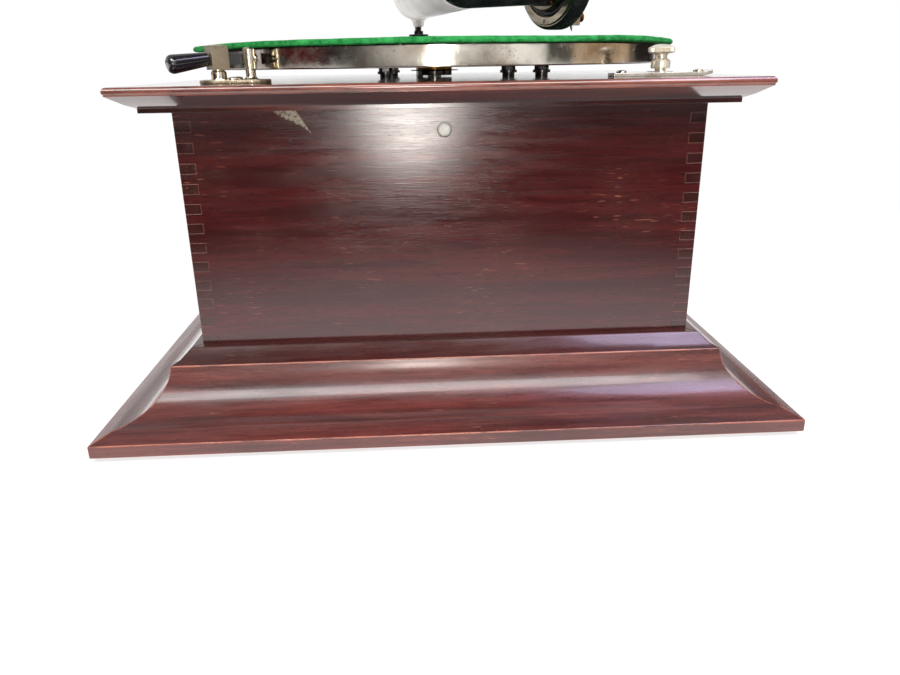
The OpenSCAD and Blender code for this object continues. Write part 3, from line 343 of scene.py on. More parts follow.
def rounded_piece(node, suffix, body, slot, material, width, least=50, segments=2):
    """A piece that is its CAD node with rounded edges."""
    bm = node_copy(node)
    soften(bm, width, segments, least)
    finish_piece(bm, node, suffix, body, slot, material)


def bake_modifiers(piece):
    """Applies a piece's modifiers to its mesh."""
    graph = bpy.context.evaluated_depsgraph_get()
    mesh = bpy.data.meshes.new_from_object(piece.evaluated_get(graph))
    materials = list(piece.data.materials)
    piece.modifiers.clear()
    piece.data = mesh
    mesh.materials.clear()
    for material in materials:
        mesh.materials.append(material)
    mesh.shade_smooth()


def dress(material, *nodes):
    """Gives CAD nodes that stay in view their finish."""
    for node in nodes:
        for slot in frame["nodes"][node].material_slots:
            slot.material = bpy.data.materials[material]


# Shader nodes

def feed(tree, sockets, values):
    """Links sockets to other ones, or sets their own values."""
    for key, value in values.items():
        socket = sockets[key]
        if isinstance(value, bpy.types.NodeSocket):
            tree.links.new(value, socket)
        elif socket.type == "RGBA" and len(value) == 3:
            socket.default_value = (*value, 1.0)
        else:
            socket.default_value = value


def add(tree, kind, values=None, **settings):
    """Adds a node with its settings and inputs, and returns its outputs."""
    made = tree.nodes.new(kind)
    for key, value in settings.items():
        setattr(made, key, value)
    feed(tree, made.inputs, values or {})
    return made.outputs


def mixed(tree, factor, first, second, blend="MIX"):
    values = {0: factor, 6: first, 7: second}
    return add(tree, "ShaderNodeMix", values, data_type="RGBA", blend_type=blend)[2]


def calc(tree, operation, first, second=0.5, third=0.5, clamp=False):
    values = {0: first, 1: second, 2: third}
    return add(tree, "ShaderNodeMath", values, operation=operation, use_clamp=clamp)[0]


def times(tree, first, second, clamp=False):
    return calc(tree, "MULTIPLY", first, second, clamp=clamp)


def mask(tree, value, low, high, to_low=0.0, to_high=1.0, curve="SMOOTHSTEP"):
    """Spreads part of a value's range over another range."""
    values = {"Value": value, "From Min": low, "From Max": high, "To Min": to_low, "To Max": to_high}
    return add(tree, "ShaderNodeMapRange", values, interpolation_type=curve)["Result"]


def noise_at(tree, vector, scale, detail=3.0, roughness=0.55, distortion=0.0):
    values = {"Vector": vector, "Scale": scale, "Detail": detail, "Roughness": roughness,
              "Distortion": distortion}
    return add(tree, "ShaderNodeTexNoise", values)["Fac"]


def grain_noise(tree, grain, along, across, *character):
    """Noise drawn out along the grain, with its detail, roughness and distortion."""
    values = {"Vector": grain, "Scale": (along, across, across)}
    return noise_at(tree, add(tree, "ShaderNodeMapping", values)["Vector"], 1.0, *character)


def object_place(tree):
    return add(tree, "ShaderNodeTexCoord")["Object"]


def attribute(tree, name, output="Fac"):
    return add(tree, "ShaderNodeAttribute", attribute_name=name)[output]


def bump(tree, height, distance, strength):
    values = {"Height": height, "Distance": distance, "Strength": strength}
    return add(tree, "ShaderNodeBump", values)["Normal"]


def node_group(name, inputs, outputs):
    """Starts a shader node group, whose outputs are values apart from Color."""
    tree = bpy.data.node_groups.new(name, "ShaderNodeTree")
    for socket, kind, value in inputs:
        made = tree.interface.new_socket(socket, in_out="INPUT", socket_type="NodeSocket" + kind)
        made.default_value = value
    for socket in outputs:
        kind = "Color" if socket == "Color" else "Float"
        tree.interface.new_socket(socket, in_out="OUTPUT", socket_type="NodeSocket" + kind)
    return tree, tree.nodes.new("NodeGroupInput").outputs, tree.nodes.new("NodeGroupOutput").inputs


def place_group(tree, name, values):
    return add(tree, "ShaderNodeGroup", values, node_tree=bpy.data.node_groups[name])


def new_material(name, **plain):
    """Node tree and shader inputs of a new material, with plain values set on the shader's own sockets."""
    made = bpy.data.materials.new(name)
    made.use_nodes = True
    shader = made.node_tree.nodes["Principled BSDF"].inputs
    feed(made.node_tree, shader, {key.replace("_", " ").title().replace("Ior", "IOR"): value
                                  for key, value in plain.items()})
    return made.node_tree, shader


def make_wood_group():
    """Figure, fibres, pores and fine scratches along the grain, which runs along X."""
    tree, given, out = node_group(
        "Wood grain", [("Grain", "Vector", (0, 0, 0)), ("Dark", "Color", BLACK), ("Light", "Color", WHITE)],
        ("Color", "Pores", "Scratches", "Height"))
    grain = given["Grain"]
    bands = grain_noise(tree, grain, 7, 90, 5.0, 0.6, 0.4)
    streaks = grain_noise(tree, grain, 18, 420, 4.0, 0.6)
    fibres = grain_noise(tree, grain, 70, 2200, 2.0, 0.5)
    pores = mask(tree, grain_noise(tree, grain, 260, 3600, 1.0, 0.5), 0.6, 0.72)
    scratches = mask(tree, grain_noise(tree, grain, 150, 1500, 0.0), 0.77, 0.8)
    tone = calc(tree, "ADD", times(tree, bands, 0.62), times(tree, streaks, 0.38))
    figured = mixed(tree, mask(tree, tone, 0.36, 0.66), given["Dark"], given["Light"])
    fibred = mixed(tree, mask(tree, fibres, 0.3, 0.7, 0.0, 0.5), figured, given["Dark"])
    sunk = times(tree, pores, 0.12)
    feed(tree, out, {
        "Color": mixed(tree, times(tree, pores, 0.55), fibred, BLACK),
        "Pores": pores,
        "Scratches": scratches,
        "Height": calc(tree, "SUBTRACT", times(tree, fibres, 0.5), sunk)})


def make_pitting_group():
    """Stains and pits of old plated metal."""
    tree, given, out = node_group(
        "Metal wear", [("Place", "Vector", (0, 0, 0)), ("Clean", "Color", WHITE), ("Stain", "Color", BLACK),
                       ("Pit", "Color", BLACK), ("Amount", "Float", 0.5)], ("Color", "Pits", "Height"))
    place, amount = given["Place"], given["Amount"]
    clouds = noise_at(tree, place, 38.0, 5.0, 0.62)
    stains = times(tree, mask(tree, clouds, 0.42, 0.7), amount, clamp=True)
    specks = noise_at(tree, place, 900.0, 2.0, 0.6)
    where = times(tree, mask(tree, noise_at(tree, place, 70.0, 3.0), 0.4, 0.68), amount)
    pits = times(tree, mask(tree, specks, 0.6, 0.72), where, clamp=True)
    stained = mixed(tree, stains, given["Clean"], given["Stain"])
    feed(tree, out, {"Color": mixed(tree, pits, stained, given["Pit"]), "Pits": pits,
                     "Height": times(tree, pits, -1.0)})


def make_dust_group():
    """Specks of dust and faint rubbing on a dark glossy finish."""
    tree, given, out = node_group(
        "Dust", [("Place", "Vector", (0, 0, 0)), ("Finish", "Color", BLACK), ("Dust", "Color", WHITE)],
        ("Color", "Roughness", "Height"))
    place = given["Place"]
    specks = mask(tree, noise_at(tree, place, 1400.0, 1.0), 0.68, 0.76, 0.0, 0.3)
    film = mask(tree, noise_at(tree, place, 60.0, 4.0, 0.6), 0.4, 0.75, 0.0, 0.05)
    feed(tree, out, {
        "Color": mixed(tree, calc(tree, "ADD", specks, film), given["Finish"], given["Dust"]),
        "Roughness": mask(tree, noise_at(tree, place, 90.0, 4.0, 0.65), 0.3, 0.75, 0.1, 0.3),
        "Height": noise_at(tree, place, 240.0, 3.0, 0.5)})


# Finishes

# Colour of end grain, also used as painted shade on the plinth's top band.
END_GRAIN_AND_SHADE = srgb(44, 19, 17)

# What the felt throws on matt surfaces
FELT_BOUNCE = (0.9, 0.91, 0.89)

# The flaked patch at the top of the front panel: its sharp right side and its ragged left side
CHIP_TOP = Vector((-66.5, 149.5)) * MM
CHIP_TIP = Vector((-59.0, 137.8)) * MM
CHIP_WIDTH = 10.0 * MM
CHIP_RAGGED = 13 * MM


def flaked_patch(tree, place):
    """Mask of a ragged wedge of lost polish, wide at the panel's top and pointed below."""
    split = add(tree, "ShaderNodeSeparateXYZ", {"Vector": place})
    tatters = calc(tree, "SUBTRACT", noise_at(tree, place, 520.0, 5.0, 0.8), 0.5)
    fall = mask(tree, split["Z"], CHIP_TIP[1], CHIP_TOP[1])
    edge = mask(tree, split["Z"], CHIP_TIP[1], CHIP_TOP[1], CHIP_TIP[0], CHIP_TOP[0], "LINEAR")
    left = calc(tree, "SUBTRACT", edge, split["X"])
    width = times(tree, calc(tree, "POWER", fall, 1.6), CHIP_WIDTH)
    inside = calc(tree, "SUBTRACT", calc(tree, "ADD", width, times(tree, tatters, CHIP_RAGGED)), left)
    patch = times(tree, mask(tree, inside, 0.0, 0.5 * MM), mask(tree, left, -0.05 * MM, 0.1 * MM))
    speckled = mask(tree, noise_at(tree, place, 700.0, 3.0, 0.7), 0.36, 0.56, 0.15, 1.0)
    return times(tree, times(tree, patch, mask(tree, fall, 0.0, 0.15)), speckled)


def make_mahogany(name, dark, light, settings, chipped=False, coat=0.25, rough=(0.1, 0.21)):
    """Polished mahogany with worn edges, haze and scratches."""
    tree, shader = new_material(name, coat_weight=coat, coat_roughness=0.06, specular_ior_level=0.45)
    grain, place = attribute(tree, "grain", "Vector"), object_place(tree)
    wood = place_group(tree, "Wood grain", {"Grain": grain, "Dark": dark, "Light": light})
    clouds = noise_at(tree, place, 24.0, 4.0, 0.6)
    # This attribute darkens end grain, and also paints shade on the plinth's top band.
    ends_and_shade = attribute(tree, "end_grain_and_shade")
    base = mixed(tree, times(tree, ends_and_shade, 0.8), wood["Color"], END_GRAIN_AND_SHADE)
    thin = mask(tree, grain_noise(tree, grain, 50, 320, 4.0, 0.7), 0.3, 0.66)
    rubbed = times(tree, thin, attribute(tree, "wear"))
    worn = mixed(tree, times(tree, rubbed, 0.8), base, settings.worn_wood)
    scored = times(tree, wood["Scratches"], mask(tree, clouds, 0.45, 0.7, 0.0, 0.3))
    scratched = mixed(tree, scored, worn, settings.worn_wood)
    finished = mixed(tree, mask(tree, clouds, 0.45, 0.8, 0.0, 0.03), scratched, settings.chipped_wood)
    polish = mask(tree, grain_noise(tree, grain, 26, 260, 5.0, 0.65), 0.25, 0.8, *rough)
    if chipped:
        chip = flaked_patch(tree, place)
        finished = mixed(tree, chip, finished, settings.chipped_wood)
        polish = calc(tree, "ADD", polish, times(tree, chip, 0.4))
    relief = times(tree, wood["Height"], calc(tree, "SUBTRACT", 1.0, ends_and_shade))
    feed(tree, shader, {"Base Color": finished, "Roughness": polish,
                        "Normal": bump(tree, relief, 0.05 * MM, 0.7)})


def make_plain_grain(name, light, depth, rough):
    """Simple straight-grained wood read along the piece's own grain attribute."""
    tree, shader = new_material(name)
    grain = attribute(tree, "grain", "Vector")
    wood = place_group(tree, "Wood grain", {"Grain": grain, "Dark": darker(light, depth), "Light": light})
    feed(tree, shader, {"Base Color": wood["Color"],
                        "Roughness": mask(tree, wood["Pores"], 0.0, 1.0, rough, rough + 0.2),
                        "Normal": bump(tree, wood["Height"], 0.05 * MM, 0.5)})


def make_metal(name, clean, stain, pit, amount, rough, metallic=1.0):
    """Old metal: stains, pits and an uneven polish between two roughnesses."""
    tree, shader = new_material(name, metallic=metallic)
    place = object_place(tree)
    wear = place_group(tree, "Metal wear", {"Place": place, "Clean": clean, "Stain": stain, "Pit": pit,
                                            "Amount": amount})
    uneven = mask(tree, noise_at(tree, place, 110.0, 4.0, 0.6), 0.3, 0.72, *rough)
    feed(tree, shader, {"Base Color": wear["Color"],
                        "Roughness": calc(tree, "ADD", uneven, times(tree, wear["Pits"], 0.3)),
                        "Normal": bump(tree, wear["Height"], 0.04 * MM, 0.5)})


def make_gloss_black(name, black, dust):
    """Black lacquer or japan with a film of dust."""
    tree, shader = new_material(name, coat_weight=0.6, coat_roughness=0.05)
    film = place_group(tree, "Dust", {"Place": object_place(tree), "Finish": black, "Dust": dust})
    feed(tree, shader, {"Base Color": film["Color"], "Roughness": film["Roughness"],
                        "Normal": bump(tree, film["Height"], 0.02 * MM, 0.4)})


def make_cast_iron(name, tone, grain, rough):
    """Sand-cast or machined iron with a coarse skin."""
    tree, shader = new_material(name, metallic=0.55)
    skin = noise_at(tree, object_place(tree), grain, 5.0, 0.65)
    feed(tree, shader, {"Base Color": mixed(tree, mask(tree, skin, 0.3, 0.7), darker(tone, 0.6), tone),
                        "Roughness": mask(tree, skin, 0.25, 0.75, *rough),
                        "Normal": bump(tree, skin, 0.25 * MM, 0.5)})


def make_felt(settings):
    """Wool felt: tufts of two greens, matted fibres and a soft sheen; painted dark where mirrors see it and
    grey in the light it throws.
    """
    tree, shader = new_material("green felt", roughness=0.95, sheen_weight=0.1, sheen_roughness=0.5,
                                sheen_tint=settings.felt_light, specular_ior_level=0.1)
    place = object_place(tree)
    tufts = noise_at(tree, place, 260.0, 4.0, 0.7)
    fibres = noise_at(tree, place, 1500.0, 3.0, 0.7, 2.0)
    tone = calc(tree, "ADD", times(tree, tufts, 0.6), times(tree, fibres, 0.4))
    wool = mixed(tree, mask(tree, tone, 0.32, 0.64), settings.felt_dark, settings.felt_light)
    # Painted reflection and bounce: mirrors see the felt nearly black, and matt surfaces get grey light from
    # it instead of green.
    paths = add(tree, "ShaderNodeLightPath")
    mirrored = mixed(tree, times(tree, paths["Is Glossy Ray"], 0.9), wool, BLACK)
    feed(tree, shader, {"Base Color": mixed(tree, paths["Is Diffuse Ray"], mirrored, FELT_BOUNCE),
                        "Normal": bump(tree, tone, 0.5 * MM, 0.9)})


def make_bone(bone):
    tree, shader = new_material("turned bone", specular_ior_level=0.4)
    clouds = noise_at(tree, object_place(tree), 400.0, 4.0)
    feed(tree, shader, {"Base Color": mixed(tree, mask(tree, clouds, 0.35, 0.75), bone, srgb(232, 226, 210)),
                        "Roughness": mask(tree, clouds, 0.3, 0.7, 0.4, 0.6)})


def make_mica(mica):
    tree, shader = new_material("split mica", transmission_weight=0.55, ior=1.58)
    flakes = grain_noise(tree, object_place(tree), 60, 60, 5.0, 0.7, 1.5)
    feed(tree, shader, {"Base Color": mixed(tree, mask(tree, flakes, 0.4, 0.7), mica, srgb(240, 232, 206)),
                        "Roughness": mask(tree, flakes, 0.3, 0.7, 0.05, 0.25)})


def make_leather(leather):
    tree, shader = new_material("shoe leather", specular_ior_level=0.25)
    hide = noise_at(tree, object_place(tree), 900.0, 4.0, 0.6)
    feed(tree, shader, {"Base Color": mixed(tree, hide, darker(leather, 0.5), leather),
                        "Roughness": mask(tree, hide, 0.3, 0.7, 0.6, 0.85),
                        "Normal": bump(tree, hide, 0.15 * MM, 0.7)})


class GRAMOPHONE_OT_finishes(Operator):
    """Makes the shared node groups and every finish of the object"""
    bl_idname = "gramophone.finishes"
    bl_label = "Finishes"

    def execute(self, context):
        make_wood_group()
        make_pitting_group()
        make_dust_group()
        case = context.scene.gramophone_case
        table = context.scene.gramophone_turntable
        fit = context.scene.gramophone_fittings
        panel_wood = case.dark_wood, case.light_wood, case
        make_mahogany("polished mahogany", *panel_wood)
        make_mahogany("chipped mahogany", *panel_wood, chipped=True)
        plinth_wood = case.plinth_dark, case.plinth_light, case
        make_mahogany("plinth mahogany", *plinth_wood, coat=0.2, rough=(0.2, 0.38))
        make_mahogany("board mahogany", *plinth_wood, coat=0.7)
        make_plain_grain("deal", case.deal, 0.55, 0.6)
        make_plain_grain("ebonised grip", fit.grip, 0.4, 0.25)
        make_bone(case.bone)
        rust = table.rust
        make_metal("pitted nickel", table.nickel, table.nickel_stain, rust, 0.85, (0.07, 0.2))
        make_metal("bright nickel", srgb(212, 202, 180), srgb(142, 129, 104), rust, 0.5, (0.12, 0.28))
        make_metal("matt nickel", srgb(246, 243, 238), srgb(214, 209, 199), rust, 0.5, (0.34, 0.5), 0.15)
        make_metal("knob nickel", srgb(232, 226, 208), srgb(182, 169, 142), rust, 0.5, (0.22, 0.38), 0.65)
        make_metal("cream nickel", srgb(168, 154, 131), srgb(134, 117, 94), rust, 0.6, (0.2, 0.36), 0.8)
        make_metal("aged brass", table.brass, table.brass_stain, srgb(40, 26, 14), 0.8, (0.2, 0.42))
        make_metal("bright steel", fit.steel, darker(fit.steel, 0.6), rust, 0.4, (0.2, 0.38))
        make_metal("browned screws", srgb(112, 72, 44), srgb(66, 40, 24), rust, 0.6, (0.3, 0.5))
        make_felt(table)
        make_gloss_black("black lacquer", fit.black, srgb(150, 146, 140))
        make_gloss_black("horn japan", fit.black, srgb(120, 110, 98))
        make_gloss_black("black bolts", fit.black, srgb(96, 90, 84))
        make_cast_iron("bracket iron", fit.black, 420.0, (0.3, 0.55))
        make_cast_iron("motor iron", fit.iron, 180.0, (0.35, 0.6))
        make_mica(fit.mica)
        make_leather(fit.leather)
        return {"FINISHED"}


# Case

GRAIN_SHIFT = Vector((0.37, 0.61, 0.23))
MOULDED_EDGE = 3.8 * MM
# Painted shade: plinth faces in this band below its top take this much of the dark end-grain colour, as the
# shade where the plinth meets the case.
SHADED_BAND, PAINTED_SHADE = 5.8 * MM, 0.85
FACING = 0.9


def wood_piece(node, along, arris, material, slot, number, rubbed=0.6, rubbed_above=None, shaded_above=None):
    """A node of wood with worn edges, its grain along one direction, and painted shade on faces above a given
    height.
    """
    bm = node_copy(node)
    wear = bm.faces.layers.float.new("wear")
    ends_and_shade = bm.faces.layers.float.new("end_grain_and_shade")
    for face in soften(bm, arris):
        if face.calc_area() / face.calc_perimeter() < arris:
            face[wear] = rubbed
    for face in bm.faces:
        face[ends_and_shade] = 1.0 if abs(face.normal.dot(along)) > FACING else 0.0
        height = face.calc_center_median().z
        if rubbed_above and face.normal.z < FACING:
            face[wear] = rubbed if height > rubbed_above else 0.0
        # Painted shade: faces above this height are darkened with the end-grain colour and lose their wear.
        if shaded_above and height > shaded_above:
            face[ends_and_shade], face[wear] = PAINTED_SHADE, 0.0
    set_grain(finish_piece(bm, node, "wood", "case", slot, material), along, number)


def set_grain(piece, along, number):
    """Stores each point's place along and across the grain, shifted so that no two pieces match."""
    across = Z_AXIS.cross(along)
    axes, shift = (along, across, along.cross(across)), GRAIN_SHIFT * (number + 1)
    values = [point.co.dot(axis) + start for point in piece.data.vertices for axis, start in zip(axes, shift)]
    piece.data.attributes.new("grain", "FLOAT_VECTOR", "POINT").data.foreach_set("vector", values)


class GRAMOPHONE_OT_case_panels(Operator):
    """Four finger-jointed panels of polished mahogany"""
    bl_idname = "gramophone.case_panels"
    bl_label = "Case Panels"

    def execute(self, context):
        arris = context.scene.gramophone_case.joint_arris
        panels = (("front", X_AXIS, "chipped"), ("back", X_AXIS, "polished"), ("left", Y_AXIS, "polished"),
                  ("right", Y_AXIS, "polished"))
        for number, (side, along, state) in enumerate(panels):
            wood_piece(side + "_panel", along, arris, state + " mahogany", "mahogany", number, rubbed=0.3)
        return {"FINISHED"}


class GRAMOPHONE_OT_boards(Operator):
    """Top board with its moulded edge, bottom board, and the bone plug in the front"""
    bl_idname = "gramophone.boards"
    bl_label = "Boards and Plug"

    def execute(self, context):
        arris = context.scene.gramophone_case.board_arris
        wood_piece("top_board", X_AXIS, arris, "board mahogany", "mahogany", 4, rubbed=0.3,
                   rubbed_above=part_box("top_board")[1].z - MOULDED_EDGE)
        wood_piece("bottom_board", X_AXIS, arris, "deal", "base_wood", 5)
        low, high = box_mm("front_plug")
        radius, depth, edge = (high.x - low.x) / 2, high.y - low.y, 0.4
        plug = turned([(0, 0.35), (radius * 0.7, 0.25), *arc((radius - edge, -edge), edge, 90, 0),
                       (radius, -depth), (0, -depth)], 32)
        placed(plug, axis_frame(Vector((0, low.y, (low.z + high.z) / 2)) * MM, -Y_AXIS))
        finish_piece(plug, "front_plug", "bone", "case", "bone", "turned bone")
        return {"FINISHED"}


class GRAMOPHONE_OT_plinth(Operator):
    """Four mitred lengths of moulded plinth"""
    bl_idname = "gramophone.plinth"
    bl_label = "Plinth"

    def execute(self, context):
        arris = context.scene.gramophone_case.plinth_arris
        sides = (("front", X_AXIS), ("back", X_AXIS), ("left", Y_AXIS), ("right", Y_AXIS))
        for number, (side, along) in enumerate(sides, 6):
            node = "plinth_" + side
            # Each length's top band gets painted shade.
            wood_piece(node, along, arris, "plinth mahogany", "mahogany", number,
                       shaded_above=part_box(node)[1].z - SHADED_BAND)
        return {"FINISHED"}


# Turntable

class GRAMOPHONE_OT_platter(Operator):
    """Nickel platter with a rounded rim, and the brass hub with its washer under it"""
    bl_idname = "gramophone.platter"
    bl_label = "Platter and Hub"

    def execute(self, context):
        wall, skin, bore, washer_r = 2.0, 1.6, 4.02, 14.0
        low, high = box_mm("platter")
        radius = high.x
        pan = turned([(radius, low.z), (radius, high.z), (bore, high.z), (bore, high.z - skin),
                      (radius - wall, high.z - skin), (radius - wall, low.z)], 192, closed=True)
        soften(pan, context.scene.gramophone_turntable.rim_round)
        finish_piece(pan, "platter", "pan", "turntable", "nickel", "pitted nickel")
        low, high = box_mm("platter_hub")
        hub_r, top, foot = high.x, high.z, low.z
        washer_z = foot + 2.6
        washer_top = washer_z + 0.5
        hub = turned([(bore, top), (hub_r, top), (hub_r, washer_top), (washer_r, washer_top),
                      (washer_r, washer_z), (hub_r, washer_z), (hub_r, foot), (bore, foot)], 64, closed=True)
        soften(hub, 0.25 * MM)
        for face in hub.faces:
            face.material_index = int(face.calc_center_median().z < (washer_top + 0.1) * MM)
        finish_piece(hub, "platter_hub", "brass", "turntable", "brass", "aged brass", "black bolts")
        return {"FINISHED"}


class GRAMOPHONE_OT_felt_mat(Operator):
    """Green felt laid on the platter, its edge drooping in waves past the rim"""
    bl_idname = "gramophone.felt_mat"
    bl_label = "Felt Mat"

    def execute(self, context):
        settings = context.scene.gramophone_turntable
        low, high = box_mm("felt_mat")
        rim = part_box("platter")[1].x
        hole, radius = 4.4, high.x
        rings = [hole, 30, 60, 90, 112, 122, 127, 129, 131, 133, radius - 0.9]
        top = [(r, high.z) for r in rings]
        bottom = [(r, low.z) for r in reversed(rings)]
        edge = [(radius - 0.2, high.z - 0.5), (radius, (low.z + high.z) / 2), (radius - 0.2, low.z + 0.5)]
        bm = turned(top + edge + bottom, 480, closed=True)
        over = radius * MM - rim
        lead, frayed, lumps = 3 * MM, 1 * MM, 0.12 * MM
        lump, tuft, fibre = 160, 900, 2600
        for point in bm.verts:
            out = off_axis(point.co)
            turn = atan2(point.co.y, point.co.x)
            wave = sin(2 * turn + 0.9) + 0.5 * sin(5 * turn + 2.0) + 0.4 * sin(9 * turn)
            past = max(0.0, out - rim + lead) / over
            point.co.z -= past ** 1.5 * (settings.felt_droop + 0.5 * settings.felt_wave * wave)
            if out > radius * MM - frayed:
                ragged = noise.noise(point.co * tuft) + 0.6 * noise.noise(point.co * fibre)
                spread(point, 1 - settings.felt_fuzz * (0.5 + 0.5 * ragged) / out)
            point.co.z += lumps * noise.noise(point.co * lump)
        mat = finish_piece(bm, "felt_mat", "cloth", "turntable", "green_felt", "green felt")
        return {"FINISHED"}


# Fittings on the board

class GRAMOPHONE_OT_brake(Operator):
    """Brake: plate, posts, square block with its leather shoe, and black handle"""
    bl_idname = "gramophone.brake"
    bl_label = "Brake"

    def execute(self, context):
        edge = context.scene.gramophone_fittings.edge
        rounded_piece("brake_plate", "nickel", "case", "nickel", "cream nickel", edge)
        pivot, _ = joint_place("brake_swing")
        block_foot = box_mm("brake_block")[0].z
        self.posts(pivot / MM, block_foot - 0.4)
        self.block(pivot, 1.8 * edge)
        self.handle(Vector((pivot.x / MM, pivot.y / MM, block_foot + 5.2)))
        return {"FINISHED"}

    def posts(self, pivot, lift):
        low, high = box_mm("brake_posts")
        foot, top = low.z, high.z
        stop_x, stop_top = high.x - 4.2, top - 1.4
        pin = turned([(0, top), (1.6, top), (2.7, top - 0.6), (2.7, lift), (3.5, lift - 0.5),
                      (3.5, foot + 0.9), (4.0, foot), (0, foot)], 32)
        stop = turned([(0, stop_top), (1.9, stop_top), (2.7, stop_top - 0.7), (2.7, lift + 0.6), (2.3, lift),
                       (2.3, foot + 2.0), *arc((3.9, foot + 1.7), 1.6, 180, 255), (4.2, foot), (0, foot)], 32)
        seat = Vector((2.5, 0, (lift + stop_top) / 2)) * MM
        side = placed(slotted_head(1.7, 1.3), axis_frame(seat, X_AXIS))
        shift = (stop_x, pivot.y, 0)
        bm = joined(moved(pin, pivot.x, pivot.y, 0), moved(stop, *shift), moved(side, *shift))
        finish_piece(bm, "brake_posts", "nickel", "case", "nickel", "bright nickel")

    def block(self, pivot, edge):
        """Square nickel block, the black arm of its shoe and the shoe's leather face."""
        nickel, leather, black = 0, 1, 2
        half = 9.0 * MM
        reach = off_axis(pivot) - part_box("platter")[1].x - 1.2 * MM
        bm = node_copy("brake_block")
        soften(bm, edge, least=50)
        for face in bm.faces:
            out = off_axis(face.calc_center_median() - pivot)
            face.material_index = leather if out > reach else black if out > half else nickel
        finish_piece(bm, "brake_block", "nickel", "brake_lever", "nickel",
                     "cream nickel", "shoe leather", "black bolts")

    def handle(self, middle):
        turn, dip, root, long = radians(215), radians(7), 4.4, 19.0
        thin, thick, tip = 3.0, 4.1, 2.6
        direction = Vector((cos(turn) * cos(dip), sin(turn) * cos(dip), -sin(dip)))
        bm = turned([(0, 0), (thin - 0.5, 0), (thin, 0.5), (thick, long - 3.2),
                     *arc((thick - tip, long - tip), tip, 8, 90, 8), (0, long)], 40)
        placed(bm, axis_frame((middle + direction * root) * MM, direction))
        finish_piece(bm, "brake_handle", "black", "brake_lever", "black_lacquer", "black lacquer")


class GRAMOPHONE_OT_speed_control(Operator):
    """Speed control: knurled knob on its stem, bent strip and the round-headed screws"""
    bl_idname = "gramophone.speed_control"
    bl_label = "Speed Control"

    def execute(self, context):
        settings = context.scene.gramophone_fittings
        self.knob(2 * settings.knurls)
        self.strip(settings.strip_lift)
        self.screws()
        return {"FINISHED"}

    def knob(self, steps):
        low, high = box_mm("speed_knob")
        centre, foot, top = (low + high) / 2, box_mm("speed_strip")[1].z + 0.2, high.z
        radius, stem, cam, valley = (high.x - low.x) / 2, 2.5, 4.0, 0.91
        cam_top = low.z + 6.0
        bm = turned([(0, top), (radius * 0.5, top - 0.3), (radius - 0.7, top - 1.3), (radius, top - 1.7),
                     (radius, top - 3.4), (radius - 0.6, top - 3.9), (3.3, top - 4.3), (2.8, top - 4.9),
                     (2.8, top - 6.3), (3.7, top - 6.8), (4.4, top - 7.4), (4.5, top - 8.0),
                     (4.5, foot + 2.0), (4.0, foot + 1.6), (stem, foot + 1.5), (stem, foot + 0.4),
                     (6.0, foot + 0.35), (6.0, foot), (stem, foot), (stem, cam_top), (cam, cam_top),
                     (cam, low.z), (0, low.z)], steps)
        for point in bm.verts:
            if abs(off_axis(point.co) - radius * MM) < 0.01 * MM:
                number = round(atan2(point.co.y, point.co.x) / tau * steps)
                spread(point, 1.0 if number % 2 else valley)
        moved(bm, centre.x, centre.y, 0)
        finish_piece(bm, "speed_knob", "nickel", "speed_knob", "nickel", "knob nickel")

    def strip(self, lift):
        bm = node_copy("speed_strip")
        bent, cuts = 5 * MM, 5
        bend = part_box("speed_strip")[1].x - bent
        for step in range(cuts):
            cut_across(bm, bend + step * bent / cuts)
        soften(bm, 0.35 * MM, least=60)
        for point in bm.verts:
            point.co.z += lift * (max(0.0, point.co.x - bend) / bent) ** 1.6
        finish_piece(bm, "speed_strip", "nickel", "case", "nickel", "pitted nickel")

    def screws(self):
        inset, seat = 5.0, box_mm("plate_screws")[0].z
        low, high = box_mm("speed_strip")
        middle = (low.y + high.y) / 2
        places = [(low.x + inset, middle), (high.x - inset, middle)]
        low, high = box_mm("brake_plate")
        centre = (low + high) / 2
        places += [(centre.x, centre.y - inset), (centre.x, centre.y + inset)]
        heads = []
        for number, (x, y) in enumerate(places):
            head = placed(slotted_head(2.4, 1.3), Matrix.Rotation(0.7 * number + 0.4, 4, "Z"))
            heads.append(moved(head, x, y, seat))
        finish_piece(joined(*heads), "plate_screws", "slotted", "case", "nickel", "bright nickel")


class GRAMOPHONE_OT_motor(Operator):
    """Black flanged hexagon bolts that hang the motor, and the works below the board"""
    bl_idname = "gramophone.motor"
    bl_label = "Motor"

    def execute(self, context):
        rounded_piece("motor_bolts", "black", "case", "black_bolts", "black bolts",
                      context.scene.gramophone_fittings.edge, 40)
        dress("motor iron", "motor_top_plate", "motor_base_plate", "motor_pillars", "shaft_bearings")
        dress("aged brass", "spindle_pinion", "governor_wheel", "intermediate_wheel", "spring_barrel",
              "barrel_lid", "governor_collars")
        dress("bright steel", "spindle", "intermediate_pinion", "mainspring", "barrel_arbor", "crown_wheel",
              "ratchet_wheel", "pawl", "governor_shaft", "governor_worm", "governor_weights",
              "friction_lever", "crank_shaft", "crank_pinion")
        return {"FINISHED"}


# Tone arm and sound box

BEND_RADIUS = 18.9 * MM
CROSS_LENGTH = 51.5 * MM


